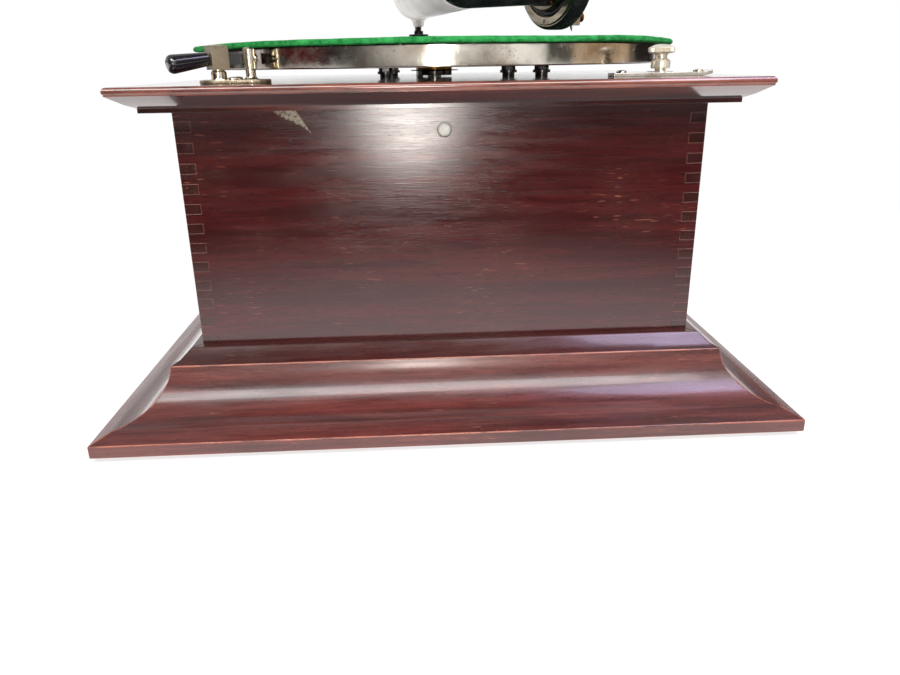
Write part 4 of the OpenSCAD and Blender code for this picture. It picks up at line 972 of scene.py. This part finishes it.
class GRAMOPHONE_OT_tone_arm(Operator):
    """Matt nickel tone arm with its rounded elbow, black cross tube and threaded pivot screw"""
    bl_idname = "gramophone.tone_arm"
    bl_label = "Tone Arm"

    def execute(self, context):
        pivot, _ = joint_place("tone_arm_swing")
        hub, along = joint_place("sound_box_turn")
        bend = hub - along * CROSS_LENGTH
        self.arm(pivot, bend)
        self.cross_tube(bend, hub, along)
        self.pivot_screw(pivot / MM, context.scene.gramophone_fittings.thread_pitch / MM)
        return {"FINISHED"}

    def arm(self, pivot, bend):
        """Elbow, neck and tapering arm grown together into one smooth casting."""
        low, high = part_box("tone_arm")
        elbow, neck, root, voxel = 20 * MM, 17 * MM, 19.2 * MM, 1.1 * MM
        above_bend, short_of_bend = 6.3 * MM, 7.3 * MM
        boss_foot, boss_top = 4.6 * MM, 6.0 * MM
        centre = Vector((pivot.x, pivot.y, bend.z + above_bend))
        boss = centre.z - low.z
        bm = bmesh.new()
        bmesh.ops.create_uvsphere(bm, u_segments=64, v_segments=32, radius=elbow,
                                  matrix=Matrix.Translation(centre))
        add_cone(bm, neck, neck, high.z - centre.z, Matrix.Translation(centre))
        add_cone(bm, root, BEND_RADIUS, (bend - centre).length - short_of_bend,
                 axis_frame(centre, bend - centre))
        add_cone(bm, boss_foot, boss_top, boss, Matrix.Translation(centre - Z_AXIS * boss), 32)
        piece = finish_piece(bm, "tone_arm", "casting", "tone_arm", "nickel", "matt nickel")
        grow = piece.modifiers.new("grow together", "REMESH")
        grow.mode, grow.voxel_size, grow.use_smooth_shade = "VOXEL", voxel, True
        ease = piece.modifiers.new("ease", "SMOOTH")
        ease.factor, ease.iterations = 0.5, 10
        bake_modifiers(piece)

    def cross_tube(self, bend, hub, along):
        radius, end, wall, bead = BEND_RADIUS / MM, 16.3, 1.4, 0.4
        long = (hub - bend).length / MM - 0.4
        bm = turned([*arc((0, 0), radius, -90, 0, 14), (end, long - 5.0), (end + bead, long - 4.4),
                     (end + bead, long - 0.6), (end, long), (end - wall, long), (radius - wall, 0),
                     *arc((0, 0), radius - wall, 0, -90, 8)], 72)
        placed(bm, axis_frame(bend, along))
        finish_piece(bm, "cross_tube", "black", "tone_arm", "black_lacquer", "black lacquer")

    def pivot_screw(self, pivot, pitch):
        low, high = box_mm("pivot_screw")
        core, crest, turns, per_turn = 2.1, 2.55, 11, 20
        nut_r, nut_h, collar_r, collar_h = 4.2 * MM, 2.6 * MM, 3.4, 2.4
        nut_z, collar_z = high.z - 14.1, high.z - 6.0
        rod = turned([(0, high.z), (1.2, high.z - 0.3), (core, high.z - 1.2), (core, low.z), (0, low.z)], 24)
        thread = bmesh.new()
        ridge = outline_in(thread, [(core, 0), (crest, pitch / 2), (core, pitch)])
        bmesh.ops.spin(thread, geom=ridge, cent=(0, 0, 0), axis=(0, 0, 1), angle=tau * turns,
                       steps=turns * per_turn, dvec=(0, 0, pitch / per_turn * MM))
        bmesh.ops.recalc_face_normals(thread, faces=thread.faces)
        nut = bmesh.new()
        add_cone(nut, nut_r, nut_r, nut_h, Matrix(), 6)
        soften(nut, 0.3 * MM)
        collar = turned([(core, collar_h), (collar_r, collar_h), (collar_r, 0), (core, 0)], 24)
        bm = joined(rod, moved(thread, 0, 0, nut_z), moved(nut, 0, 0, nut_z), moved(collar, 0, 0, collar_z))
        moved(bm, pivot.x, pivot.y, 0)
        finish_piece(bm, "pivot_screw", "threaded", "case", "black_bolts", "black bolts")


class GRAMOPHONE_OT_sound_box(Operator):
    """Sound box: black shell with nickel hub and rings, mica, stylus bar and thumb screw"""
    bl_idname = "gramophone.sound_box"
    bl_label = "Sound Box"

    def execute(self, context):
        self.shell(axis_frame(*joint_place("sound_box_turn")))
        rounded_piece("stylus_bar", "nickel", "stylus", "nickel", "bright nickel", 0.2 * MM)
        rounded_piece("needle_screw", "brown", "needle_screw", "brass", "browned screws", 0.45 * MM)
        dress("split mica", "diaphragm")
        return {"FINISHED"}

    def shell(self, place):
        lacquer, nickel, brown = 0, 1, 2
        hub_r, ring_in, ring_out, wall_r, screw_r = 19.0, 22.6, 26.8, 29.3, 16
        front, opening, seat_r, bore, spigot = 13.5, 22.0, 25.3, 13.4, 14.7
        dish = [(hub_r + (ring_in - hub_r) * t, 3.4 - 0.6 * sin(pi * t)) for t in (0, 0.25, 0.5, 0.75, 1)]
        shell = turned([(bore, -8), (spigot, -8), (spigot, 0), (hub_r - 0.5, 0), (hub_r, 0.5), (hub_r, 2.6),
                        *dish, (ring_in, 2.3), (ring_in + 0.5, 1.9), (ring_out - 0.4, 1.9), (ring_out, 2.3),
                        (ring_out, 2.9), (ring_out + 0.7, 2.9), (ring_out + 0.7, 3.4), (ring_out + 1.0, 3.6),
                        *arc((wall_r - 1.6, 5.4), 1.6, -70, 0, 5), (wall_r, 8.0), (wall_r - 0.4, 8.3),
                        (wall_r - 0.4, 8.9), (wall_r, 9.2), *arc((wall_r - 1.4, front - 1.6), 1.4, 0, 70, 4),
                        (wall_r - 2.2, front), (opening + 0.6, front), (opening, front - 0.6),
                        (opening, front - 2), (seat_r, front - 2), (seat_r, 8.5), (opening, 8.5),
                        (opening, 5.5), (bore, 5.5)], 96, closed=True)
        for face in shell.faces:
            centre = face.calc_center_median() / MM
            out = off_axis(centre)
            on_hub = out < hub_r + 0.05 and -0.5 < centre.z < 2.6
            on_ring = ring_in - 0.1 < out < ring_out + 0.8 and centre.z < 3.0
            on_lip = opening - 0.1 < out < wall_r - 2.0 and centre.z > front - 0.8
            face.material_index = nickel if on_hub or on_ring or on_lip else lacquer
        parts = [shell]
        for a in map(radians, (-20, 100, 220)):
            head = placed(slotted_head(1.9, 1.2), Matrix.Rotation(pi, 4, "X"))
            parts.append(numbered(moved(head, screw_r * cos(a), screw_r * sin(a), 0), brown))
        slot = block((2.2, 0.9, 0.8), ((ring_in + ring_out) / 2, 1.5, 1.75), 0.15)
        parts.append(numbered(slot, lacquer))
        for side in (-1, 1):
            parts.append(numbered(block((12, 3, 10), (21, side * 6, front + 3), 0.5), nickel))
        finish_piece(placed(joined(*parts), place), "sound_box", "shell", "sound_box", "black_lacquer",
                     "black lacquer", "bright nickel", "browned screws")


# Crank

def lying_round(node):
    """Length and radius, in millimetres, and foot of a round CAD node that lies along X."""
    low, high = box_mm(node)
    centre = (low + high) / 2
    foot = axis_frame(Vector((low.x, centre.y, centre.z)) * MM, X_AXIS)
    return high.x - low.x, (high.z - low.z) / 2, foot


class GRAMOPHONE_OT_crank(Operator):
    """Winding crank: steel arm, turned grip and the escutcheon on the case"""
    bl_idname = "gramophone.crank"
    bl_label = "Crank"

    def execute(self, context):
        rounded_piece("crank_arm", "steel", "crank", "steel", "bright steel", 0.9 * MM)
        self.grip()
        self.escutcheon()
        return {"FINISHED"}

    def grip(self):
        long, radius, foot = lying_round("crank_grip")
        bore, neck, steps = 3.1, 0.72, 20

        def swell(t):
            return radius * (neck + (1 - neck) * sin(pi * t))
        end, groove = swell(0), swell(0.05) - 0.6
        body = [(swell(t / steps), long * t / steps) for t in range(2, steps - 1)]
        bm = turned([(bore, 0), (end, 0), (end + 0.5, 1.2), (end, 2.4), (groove, 3.4), *body,
                     (groove, long - 3.4), (end, long - 2.4), (end + 0.5, long - 1.2), (end, long),
                     (bore, long)], 48, closed=True)
        placed(bm, foot)
        piece = finish_piece(bm, "crank_grip", "turned", "crank_grip", "grip_wood", "ebonised grip")
        set_grain(piece, X_AXIS, 20)

    def escutcheon(self):
        thick, radius, foot = lying_round("winding_escutcheon")
        bore, screw_r = 5.05, 10
        sunk, rim = thick * 0.5, thick * 0.65
        plate = turned([(bore, 0), (radius, 0), (radius, thick * 0.4), (radius - 0.8, rim),
                        (radius - 3.2, rim), (radius - 3.8, sunk), (bore + 2.6, sunk), (bore + 2.0, thick),
                        (bore, thick)], 64, closed=True)
        heads = []
        for a in map(radians, (90, 210, 330)):
            head = placed(slotted_head(1.6, 0.9), Matrix.Rotation(a, 4, "Z"))
            heads.append(moved(head, screw_r * cos(a), screw_r * sin(a), sunk))
        bm = placed(joined(plate, *heads), foot)
        finish_piece(bm, "winding_escutcheon", "plate", "case", "nickel", "bright nickel")


# Bracket and horn

# How far the petals pinch in at their seams, as a part of the radius, and where that starts in millimetres
PINCH, PINCH_FROM = 0.012, 40


class GRAMOPHONE_OT_bracket(Operator):
    """Cast bracket at the back with its bolts"""
    bl_idname = "gramophone.bracket"
    bl_label = "Bracket"

    def execute(self, context):
        fit = context.scene.gramophone_fittings
        rounded_piece("horn_bracket", "cast", "case", "bracket_iron", "bracket iron", fit.cast_edge, 40, 3)
        rounded_piece("bracket_bolts", "black", "case", "black_bolts", "black bolts", fit.edge, 40)
        return {"FINISHED"}


class GRAMOPHONE_OT_horn(Operator):
    """Horn of japanned petals with rolled seams, its elbow and its wired brass rim"""
    bl_idname = "gramophone.horn"
    bl_label = "Horn"

    def execute(self, context):
        self.petals(context.scene.gramophone_horn)
        rounded_piece("horn_elbow", "black", "horn", "horn_japan", "horn japan", 0.6 * MM, 45)
        dress("aged brass", "horn_rim")
        return {"FINISHED"}

    def petals(self, settings):
        pivot = joint_place("tone_arm_swing")[0] / MM
        tilt, bend, neck, loose = radians(35), 45.0, 17.0, 0.02
        spigot, long, mouth, cone, count = 16.0, 440.0, 190.0, 0.42, 8
        elbow_z = box_mm("horn_bracket")[1].z + 4.0
        throat = Vector((pivot.x, pivot.y - bend * (1 - sin(tilt)), elbow_z + bend * cos(tilt))) * MM
        steps = settings.flare_steps
        flare = [(neck + loose, 1.0)]
        for t in (step / steps for step in range(steps + 1)):
            widening = cone * t + (1 - cone) * t ** 4
            flare.append((neck + loose + (mouth - neck) * widening, spigot + (long - spigot) * t))
        sheet = turned(flare, count * settings.petal_steps)
        for point in sheet.verts:
            out = off_axis(point.co) / MM
            belly = 0.5 + 0.5 * cos(atan2(point.co.y, point.co.x) * count)
            spread(point, 1 - PINCH * (1 - belly) * max(0.0, (out - PINCH_FROM) / mouth))
        bmesh.ops.solidify(sheet, geom=sheet.faces[:], thickness=-0.8 * MM)
        seams = [self.seam(settings, flare, tau * (number + 0.5) / count) for number in range(count)]
        bm = placed(joined(sheet, *seams), axis_frame(throat, Vector((0, -cos(tilt), sin(tilt)))))
        finish_piece(bm, "horn_petals", "japanned", "horn", "horn_japan", "horn japan")

    def seam(self, settings, flare, turn):
        """A half-round bead along the outside of the joint between two petals."""
        section = [(-0.5, 0.0), (-0.35, 0.7), (0.0, 1.0), (0.35, 0.7), (0.5, 0.0)]
        bm = bmesh.new()
        rings = []
        for (r, z), (next_r, next_z) in zip(flare[1:], flare[2:]):
            slope = atan2(next_r - r, next_z - z)
            shrink = min(1.0, 0.45 + r / 120)
            wide, high = settings.seam_width * shrink, settings.seam_height * shrink
            foot = (r * (1 - PINCH) if r > 60 else r - 0.4) * MM
            rise, fall = high * cos(slope), high * sin(slope)
            ring = [bm.verts.new((foot + up * rise, side * wide, z * MM - up * fall)) for side, up in section]
            rings.append([bm.edges.new(pair) for pair in zip(ring, ring[1:])])
        for first, second in zip(rings, rings[1:]):
            bmesh.ops.bridge_loops(bm, edges=first + second)
        bmesh.ops.recalc_face_normals(bm, faces=bm.faces)
        return placed(bm, Matrix.Rotation(turn, 4, "Z"))


# Stage

# What the bright metal mirrors of the room, by the turn to the right of straight ahead in degrees
SHADE, ROSY, DIM = srgb(36, 29, 27), srgb(78, 28, 28), srgb(86, 84, 78)
GREY, TAN, PALE = srgb(232, 229, 224), srgb(206, 180, 150), (1.2, 1.18, 1.14)
ROOM_BANDS = (
    (-180, WHITE), (-152, WHITE), (-142, SHADE), (-97, SHADE), (-95, PALE), (-93, SHADE), (-89, PALE),
    (-86, ROSY), (-62, ROSY), (-50, SHADE), (-38, DIM), (-18, GREY), (26, GREY), (32, PALE), (50, PALE),
    (54, DIM), (66, DIM), (70, TAN), (106, TAN), (112, SHADE), (150, SHADE), (156, WHITE), (180, WHITE))
LOW_SIDES, LEFT_WALL, CEILING = (1.3, 1.3, 1.3), (0.95, 0.95, 0.95), (0.5, 0.5, 0.5)

# Where parts of the room fade in, as turns to the right, rises or backward shares of a direction
SIDE_TURN, LEFT_TURN = (radians(34), radians(55)), (radians(-90), radians(-98))
WALL_RISE, LEFT_RISE, CEILING_RISE, BACKDROP = (-0.06, -0.03), (0.025, 0.06), (0.2, 0.9), (0.8, 0.9)

# The mirrored window: its tint, and its middle, half height and soft edge as rises of a direction
WINDOW_TINT = (1.0, 0.94, 0.88)
WINDOW_MIDDLE, WINDOW_HALF, WINDOW_EDGE = 0.035, 0.105, 0.09

# The floor: its paper, its own light where the camera sees it, and its sheen from near to far
PAPER, SHEEN_TINT = (0.88, 0.88, 0.87), (1.0, 0.95, 0.94)
FLOOR_GLOW, FLOOR_SEEN = 1.19, 0.62
SHEEN_NEAR, SHEEN_FAR, SHEEN_LEAST = 0.2, 0.62, 0.02


def banded(tree, value, bands):
    """A colour ramp from a full turn, its stops given in degrees."""
    made = add(tree, "ShaderNodeValToRGB", {"Fac": value})["Color"]
    stops = made.node.color_ramp.elements
    for number, (turn, tint) in enumerate(bands):
        place = turn / 360 + 0.5
        stop = stops[0] if number == 0 else stops[-1] if number == len(bands) - 1 else stops.new(place)
        stop.position, stop.color = place, (*tint[:3], 1.0)
    return made


def glow(tree, tint, strength):
    return add(tree, "ShaderNodeEmission", {"Color": tint, "Strength": strength})[0]


def blended(tree, factor, first, second):
    return add(tree, "ShaderNodeMixShader", {0: factor, 1: first, 2: second})[0]


def area_light(name, place, target, size, power, tint=(1.0, 1.0, 1.0)):
    """A soft rectangular light aimed at a point."""
    lamp = bpy.data.lights.new(name, "AREA")
    lamp.shape, lamp.size, lamp.size_y = "RECTANGLE", *size
    lamp.energy, lamp.color = power, tint
    piece = linked(name, lamp)
    piece.location = place
    piece.rotation_euler = (Vector(target) - Vector(place)).to_track_quat("-Z", "Y").to_euler()
    piece.visible_camera = False
    return piece


class GRAMOPHONE_OT_stage(Operator):
    """Pale floor, white surroundings, soft lights and the camera"""
    bl_idname = "gramophone.stage"
    bl_label = "Stage"

    def execute(self, context):
        settings = context.scene.gramophone_stage
        self.floor(settings)
        self.surroundings(context.scene, settings)
        window = area_light("window", (0.03, -1.5, 0.2), (0.0, 0.0, 0.1), (0.6, 0.5), settings.window_power)
        window.visible_glossy = False
        area_light("strip light", (-0.05, -0.85, 1.0), (0.0, -0.1, 0.05), (1.3, 0.42), settings.strip_power)
        area_light("sky light", (0.55, -0.4, 1.1), (0.05, -0.1, 0.0), (0.5, 0.5), settings.sky_power,
                   settings.sky)
        self.camera(context.scene, settings)
        context.scene.view_settings.view_transform = "Standard"
        return {"FINISHED"}

    def floor(self, settings):
        bm = bmesh.new()
        bmesh.ops.create_circle(bm, cap_ends=True, segments=96, radius=settings.floor_radius)
        piece = linked("floor", mesh_of(bm, "floor"))
        piece.location.z = -0.2 * MM
        made = bpy.data.materials.new("pale floor")
        made.use_nodes = True
        tree = made.node_tree
        tree.nodes.remove(tree.nodes["Principled BSDF"])
        paths = add(tree, "ShaderNodeLightPath")
        paper = add(tree, "ShaderNodeBsdfDiffuse", {"Color": PAPER})[0]
        seen = times(tree, paths["Is Camera Ray"], FLOOR_SEEN)
        shown = blended(tree, seen, paper, glow(tree, WHITE, FLOOR_GLOW))
        reach = add(tree, "ShaderNodeVectorMath", {0: object_place(tree)}, operation="LENGTH")["Value"]
        near = mask(tree, reach, SHEEN_FAR, SHEEN_NEAR, SHEEN_LEAST, settings.floor_glare)
        mirrored = blended(tree, paths["Is Glossy Ray"], shown, glow(tree, SHEEN_TINT, near))
        lit = blended(tree, paths["Is Diffuse Ray"], mirrored, glow(tree, WHITE, settings.floor_bounce))
        feed(tree, tree.nodes["Material Output"].inputs, {"Surface": lit})
        piece.data.materials.append(made)

    def surroundings(self, scene, settings):
        """White behind the object, a dim room in front of it, and even light on matt surfaces."""
        scene.world = bpy.data.worlds.new("studio")
        scene.world.use_nodes = True
        tree = scene.world.node_tree
        tree.nodes.clear()
        split = add(tree, "ShaderNodeSeparateXYZ", {"Vector": add(tree, "ShaderNodeTexCoord")["Generated"]})
        right, back, up = (split[axis] for axis in "XYZ")
        turn = calc(tree, "ARCTAN2", right, times(tree, back, -1.0))
        walls = banded(tree, calc(tree, "MULTIPLY_ADD", turn, 1 / tau, 0.5), ROOM_BANDS)
        aside = mask(tree, calc(tree, "ABSOLUTE", turn), *SIDE_TURN)
        low = mixed(tree, aside, [settings.room] * 3, LOW_SIDES)
        standing = mixed(tree, mask(tree, up, *WALL_RISE), low, walls)
        left = times(tree, mask(tree, up, *LEFT_RISE), mask(tree, turn, *LEFT_TURN))
        roofed = mixed(tree, mask(tree, up, *CEILING_RISE), mixed(tree, left, standing, LEFT_WALL), CEILING)
        height = calc(tree, "ABSOLUTE", calc(tree, "SUBTRACT", up, WINDOW_MIDDLE))
        rise = calc(tree, "MAXIMUM", calc(tree, "SUBTRACT", height, WINDOW_HALF), 0.0)
        squares = (calc(tree, "POWER", side, 2.0) for side in (turn, rise))
        off = calc(tree, "SQRT", calc(tree, "ADD", *squares))
        strength = mask(tree, off, WINDOW_EDGE, 0.0, 0.0, settings.glare)
        lit = add(tree, "ShaderNodeVectorMath", {0: WINDOW_TINT, "Scale": strength}, operation="SCALE")[0]
        reflected = mixed(tree, mask(tree, back, *BACKDROP), mixed(tree, 1.0, roofed, lit, "ADD"), WHITE)
        paths = add(tree, "ShaderNodeLightPath")
        mirrored = calc(tree, "ADD", paths["Is Glossy Ray"], paths["Is Transmission Ray"], clamp=True)
        met = mixed(tree, mirrored, [settings.fill] * 3, reflected)
        shown = mixed(tree, paths["Is Camera Ray"], met, WHITE)
        ground = add(tree, "ShaderNodeBackground", {"Color": shown, "Strength": 1.0})[0]
        add(tree, "ShaderNodeOutputWorld", {"Surface": ground})

    def camera(self, scene, settings):
        lens = bpy.data.cameras.new("camera")
        lens.sensor_width, lens.lens = 36.0, settings.lens
        lens.clip_start, lens.clip_end = 0.01, 20.0
        yaw, pitch, roll = settings.camera_yaw, settings.camera_pitch, settings.camera_roll
        ahead = Vector((sin(yaw) * cos(pitch), cos(yaw) * cos(pitch), -sin(pitch)))
        level = Vector((cos(yaw), -sin(yaw), 0))
        upright = level.cross(ahead)
        right = cos(roll) * level + sin(roll) * upright
        up = -sin(roll) * level + cos(roll) * upright
        turn = Matrix((right, up, -ahead)).transposed().to_4x4()
        scene.camera = linked("camera", lens)
        scene.camera.matrix_world = Matrix.Translation(settings.camera_place) @ turn


class GRAMOPHONE_PT_sidebar(Panel):
    """The gramophone's settings and makers"""
    bl_label = "Horn Gramophone"
    bl_idname = "GRAMOPHONE_PT_sidebar"
    bl_space_type = "VIEW_3D"
    bl_region_type = "UI"
    bl_category = "Gramophone"

    def draw(self, context):
        for maker in MAKERS:
            self.layout.operator(maker.bl_idname)
        for key, kind in SETTINGS.items():
            box = self.layout.box()
            for name in kind.__annotations__:
                box.prop(getattr(context.scene, key), name)


SETTINGS = {
    "gramophone_case": CaseSettings,
    "gramophone_turntable": TurntableSettings,
    "gramophone_fittings": FittingSettings,
    "gramophone_horn": HornSettings,
    "gramophone_stage": StageSettings,
}
MAKERS = (
    GRAMOPHONE_OT_finishes, GRAMOPHONE_OT_case_panels, GRAMOPHONE_OT_boards, GRAMOPHONE_OT_plinth,
    GRAMOPHONE_OT_platter, GRAMOPHONE_OT_felt_mat, GRAMOPHONE_OT_brake, GRAMOPHONE_OT_speed_control,
    GRAMOPHONE_OT_motor, GRAMOPHONE_OT_tone_arm, GRAMOPHONE_OT_sound_box, GRAMOPHONE_OT_crank,
    GRAMOPHONE_OT_bracket, GRAMOPHONE_OT_horn, GRAMOPHONE_OT_stage,
)
CLASSES = (*SETTINGS.values(), *MAKERS, GRAMOPHONE_PT_sidebar)


def register():
    for kind in CLASSES:
        bpy.utils.register_class(kind)
    for key, kind in SETTINGS.items():
        setattr(bpy.types.Scene, key, PointerProperty(type=kind))


def unregister():
    for key in SETTINGS:
        delattr(bpy.types.Scene, key)
    for kind in reversed(CLASSES):
        bpy.utils.unregister_class(kind)


def main():
    register()
    for maker in MAKERS:
        getattr(bpy.ops.gramophone, maker.bl_idname.split(".")[1])()


if __name__ == "__main__":
    main()
